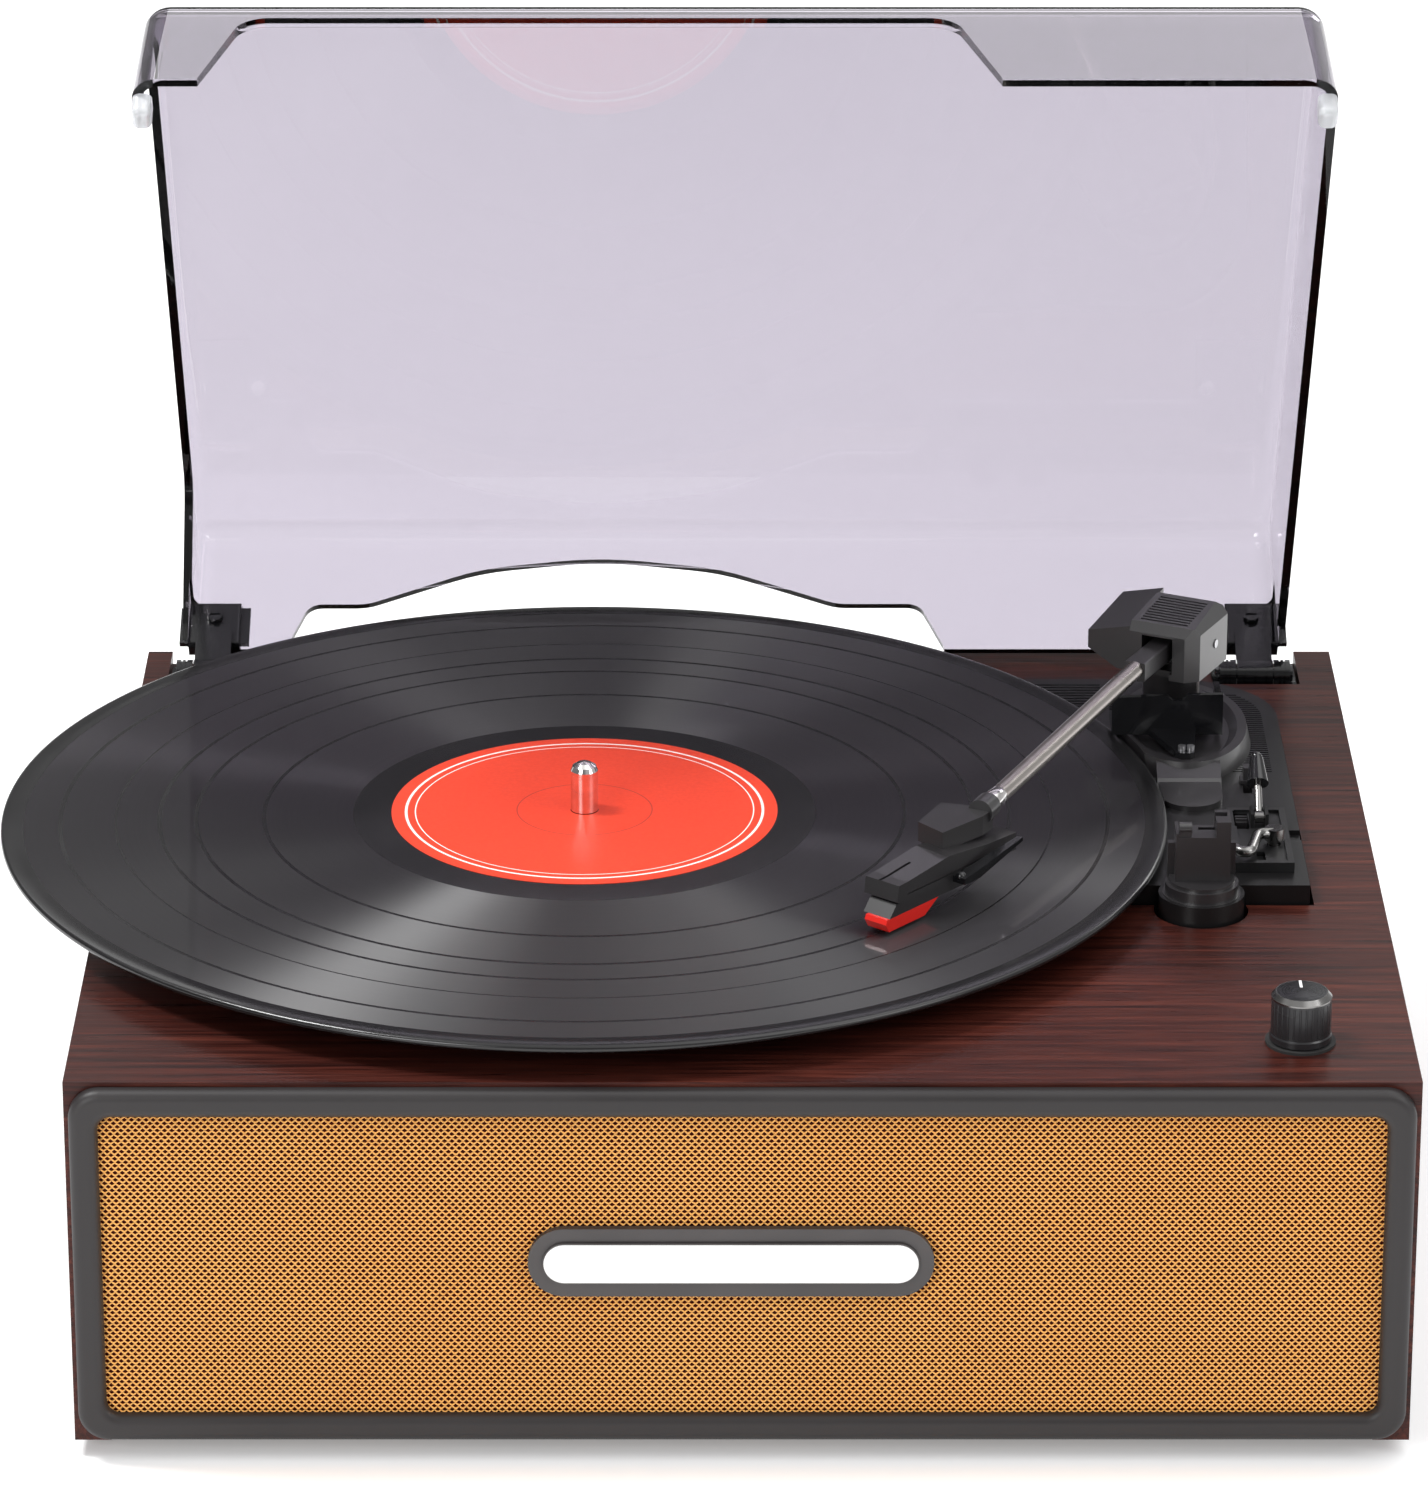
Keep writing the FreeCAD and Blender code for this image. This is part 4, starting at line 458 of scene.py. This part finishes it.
# painted shade: a dark sheet just behind the weave stands in for the shade seen through its holes
shade_sheet = add("grille_shade_sheet", [P(gx0 - 0.4, yb - 0.30, gz0 - 0.4), P(gx1 + 0.4, yb - 0.30, gz0 - 0.4), P(gx1 + 0.4, yb - 0.30, gz1 + 0.4), P(gx0 - 0.4, yb - 0.30, gz1 + 0.4),
                                P(gx0 - 0.4, yb - 0.05, gz0 - 0.4), P(gx1 + 0.4, yb - 0.05, gz0 - 0.4), P(gx1 + 0.4, yb - 0.05, gz1 + 0.4), P(gx0 - 0.4, yb - 0.05, gz1 + 0.4)],
              [(0, 1, 2, 3), (4, 5, 6, 7), (0, 1, 5, 4), (1, 2, 6, 5), (2, 3, 7, 6), (3, 0, 4, 7)], "painted_hole_shade", "cabinet", smooth=False)
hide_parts("grille_cloth")

# ------------------------------------------------------------------ smooth arm tube
AX, AY, YAW = 115.2, 73.4, -116.0


def A(x, y, z):
    """Tonearm coordinates (x forward, y to its right, z up) to the row frame."""
    a = math.radians(YAW)
    return P(AX + x * math.cos(a) - y * math.sin(a), AY + x * math.sin(a) + y * math.cos(a), H + 30.5 + z)


def bar(points, radius, to_world, n=48, hollow=None):
    """Round bar through a list of points, with flat ends; hollow is not used."""
    verts, faces = [], []
    pts = [Vector(q) for q in points]
    up = Vector((0, 0, 1))
    rings_ = []
    radii = radius if isinstance(radius, (list, tuple)) else [radius] * len(pts)
    for i, q in enumerate(pts):
        d = (pts[min(i + 1, len(pts) - 1)] - pts[max(i - 1, 0)]).normalized()
        s = d.cross(up)
        s = s.normalized() if s.length > 1e-4 else Vector((1, 0, 0))
        u = s.cross(d).normalized()
        ring_ = []
        for k in range(n):
            a = 2 * math.pi * k / n
            w = q + (s * math.cos(a) + u * math.sin(a)) * radii[i]
            ring_.append(len(verts))
            verts.append(to_world(w.x, w.y, w.z))
        rings_.append(ring_)
    for r0, r1 in zip(rings_, rings_[1:]):
        for k in range(n):
            l = (k + 1) % n
            faces.append((r0[k], r0[l], r1[l], r1[k]))
    faces.append(tuple(reversed(rings_[0])))
    faces.append(tuple(rings_[-1]))
    return verts, faces


t0, t1 = Vector((25.5, 0, 0.5)), Vector((119.8, 0, -3.35))
verts, faces = bar([t0, t0.lerp(t1, 0.33), t0.lerp(t1, 0.66), t1], 2.4, A, 64)
tube = add("arm_tube_smooth", verts, faces, "tube", "tonearm")
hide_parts("arm_tube")
verts, faces = bar([t0.lerp(t1, 0.935), t0.lerp(t1, 0.94), t0.lerp(t1, 0.985), t0.lerp(t1, 0.99)], [2.4, 2.62, 2.62, 2.4], A, 64)
add("arm_tube_ferrule", verts, faces, "chrome", "tonearm")

# ------------------------------------------------------------------ knob cap and ring
kz = H + 13.5
prof = [(0.01, kz - 0.02), (0.01, kz + 0.02), (6.0, kz + 0.02), (6.1, kz - 0.02)]
verts, faces = spun(prof, (135.8, -121.0), 64)
add("knob_cap", verts, faces, "knob_top", "volume_knob")
prof = [(6.15, kz - 0.05), (6.15, kz + 0.03), (6.4, kz + 0.03), (7.42, kz - 1.15), (7.42, kz - 1.5), (7.2, kz - 1.5)]
verts, faces = spun(prof, (135.8, -121.0), 96)
add("knob_ring", verts, faces, "hook", "volume_knob")
kx, ky = 135.8, -121.0
verts = [P(kx - 0.35, ky + 2.0, kz + 0.03), P(kx + 0.35, ky + 2.0, kz + 0.03), P(kx + 0.35, ky + 6.2, kz + 0.03), P(kx - 0.35, ky + 6.2, kz + 0.03),
         P(kx - 0.35, ky + 2.0, kz + 0.10), P(kx + 0.35, ky + 2.0, kz + 0.10), P(kx + 0.35, ky + 6.2, kz + 0.10), P(kx - 0.35, ky + 6.2, kz + 0.10)]
add("knob_mark", verts, [(3, 2, 1, 0), (4, 5, 6, 7), (0, 1, 5, 4), (1, 2, 6, 5), (2, 3, 7, 6), (3, 0, 4, 7)], "badge_face", "volume_knob", smooth=False)

# Badge face: pale raised inlay on the plain plate.
lo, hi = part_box("grille_badge")
verts, faces = [], []
cx0, cx1, cz, rr = -43.1, 37.6, 49.5, 5.35
outline = []
for k in range(25):
    a = -math.pi / 2 + math.pi * k / 24
    outline.append((cx1 + rr * math.cos(a), cz + rr * math.sin(a)))
for k in range(25):
    a = math.pi / 2 + math.pi * k / 24
    outline.append((cx0 + rr * math.cos(a), cz + rr * math.sin(a)))
n = len(outline)
for depth, shrink in ((0.0, 0.0), (-0.55, 0.0), (-0.75, 0.35)):
    for x, z in outline:
        mx, mz = (cx0 + cx1) / 2, cz
        dx = x - max(min(x, cx1), cx0)
        dz = z - cz
        d = math.hypot(dx, dz) or 1
        verts.append(P(x - dx / d * shrink, -148.2 + depth, z - dz / d * shrink))
for lvl in range(2):
    for k in range(n):
        l = (k + 1) % n
        faces.append((lvl * n + k, lvl * n + l, (lvl + 1) * n + l, (lvl + 1) * n + k))
faces.append(tuple(2 * n + k for k in range(n)))
faces.append(tuple(reversed(range(n))))
add("badge_inlay", verts, faces, "badge_face", "cabinet")

# ------------------------------------------------------------------ floor, lights, camera
bpy.ops.mesh.primitive_plane_add(size=14, location=(0, 3, 0))
floor = bpy.context.object
floor.name = "floor"
mf = new_mat("floor", (0.86, 0.86, 0.865), 0.6, spec=0.2)
mf.node_tree.nodes["Principled BSDF"].inputs["Emission Color"].default_value = (1, 1, 1, 1)
mf.node_tree.nodes["Principled BSDF"].inputs["Emission Strength"].default_value = 0.22
g = G(mf)
g.link(g.ramp(g.noise(g.coords(), 3, 2), [(0.3, (0.855, 0.855, 0.86)), (0.7, (0.87, 0.87, 0.873))]), g.b.inputs["Base Color"])
floor.data.materials.append(mf)

world = bpy.data.worlds.new("studio")
scene.world = world
world.use_nodes = True
wn = world.node_tree
bg = wn.nodes["Background"]
bg.inputs["Strength"].default_value = 1.0
wtc = wn.nodes.new("ShaderNodeTexCoord")
wsep = wn.nodes.new("ShaderNodeSeparateXYZ")
wn.links.new(wtc.outputs["Generated"], wsep.inputs[0])
wramp = wn.nodes.new("ShaderNodeValToRGB")
els = wramp.color_ramp.elements
for pos, val in ((0.0, 0.22), (0.50, 0.17), (0.62, 0.22), (0.80, 0.75), (1.0, 1.0)):
    e = els[0] if pos == 0.0 else (els[-1] if pos == 1.0 else els.new(pos))
    e.color = (val, val, val, 1)
wn.links.new(wsep.outputs[2], wramp.inputs["Fac"])
wmr = wn.nodes.new("ShaderNodeMapRange")
wmr.inputs["From Min"].default_value = 0.0
wmr.inputs["From Max"].default_value = 0.35
wmr.inputs["To Min"].default_value = 1.0
wmr.inputs["To Max"].default_value = 2.6
wn.links.new(wsep.outputs[0], wmr.inputs["Value"])
wmul = wn.nodes.new("ShaderNodeVectorMath")
wmul.operation = "SCALE"
wn.links.new(wramp.outputs["Color"], wmul.inputs[0])
wn.links.new(wmr.outputs["Result"], wmul.inputs["Scale"])
wn.links.new(wmul.outputs[0], bg.inputs["Color"])


def area_light(name, loc, target, size, power, size_y=None, color=(1, 1, 1)):
    d = bpy.data.lights.new(name, "AREA")
    d.energy = power
    d.color = color
    d.shape = "RECTANGLE"
    d.size = size
    d.size_y = size_y or size
    o = bpy.data.objects.new(name, d)
    bpy.context.collection.objects.link(o)
    o.location = loc
    o.rotation_euler = (Vector(target) - Vector(loc)).to_track_quat("-Z", "Y").to_euler()
    return o


area_light("key", (-0.98, 0.14, 1.82), (-0.03, 0, 0.1), 0.4, 30, 0.5)
area_light("front", (-1.25, -1.95, 1.0), (0, 0, 0.08), 0.9, 24, 0.9)
area_light("side", (1.6, -0.9, 1.1), (0, 0, 0.1), 0.9, 9)
area_light("rear_right", (1.0, 1.3, 0.85), (0.1, 0.05, 0.1), 0.45, 2.2, 0.35)
area_light("rear_panel", (0.0, 1.9, 1.42), (0, 0, 0.3), 2.4, 5.3, 0.4)

cam_data = bpy.data.cameras.new("camera")
cam = bpy.data.objects.new("camera", cam_data)
bpy.context.collection.objects.link(cam)
cam_data.sensor_fit = "VERTICAL"
cam_data.sensor_height = 36.0
cam_data.sensor_width = 36.0 * 1428 / 1500
cam_data.lens = 175.68
cam_data.clip_start = 0.05
cam_data.clip_end = 60
cam.location = ((-6.877 + OX) / 1000, (-1749.92 + OY) / 1000, (819.95 + FH + 0.27) / 1000)
cam.rotation_euler = (math.radians(90 - 21.687), 0, 0)
scene.camera = cam

scene.view_settings.view_transform = "Standard"
scene.view_settings.look = "None"
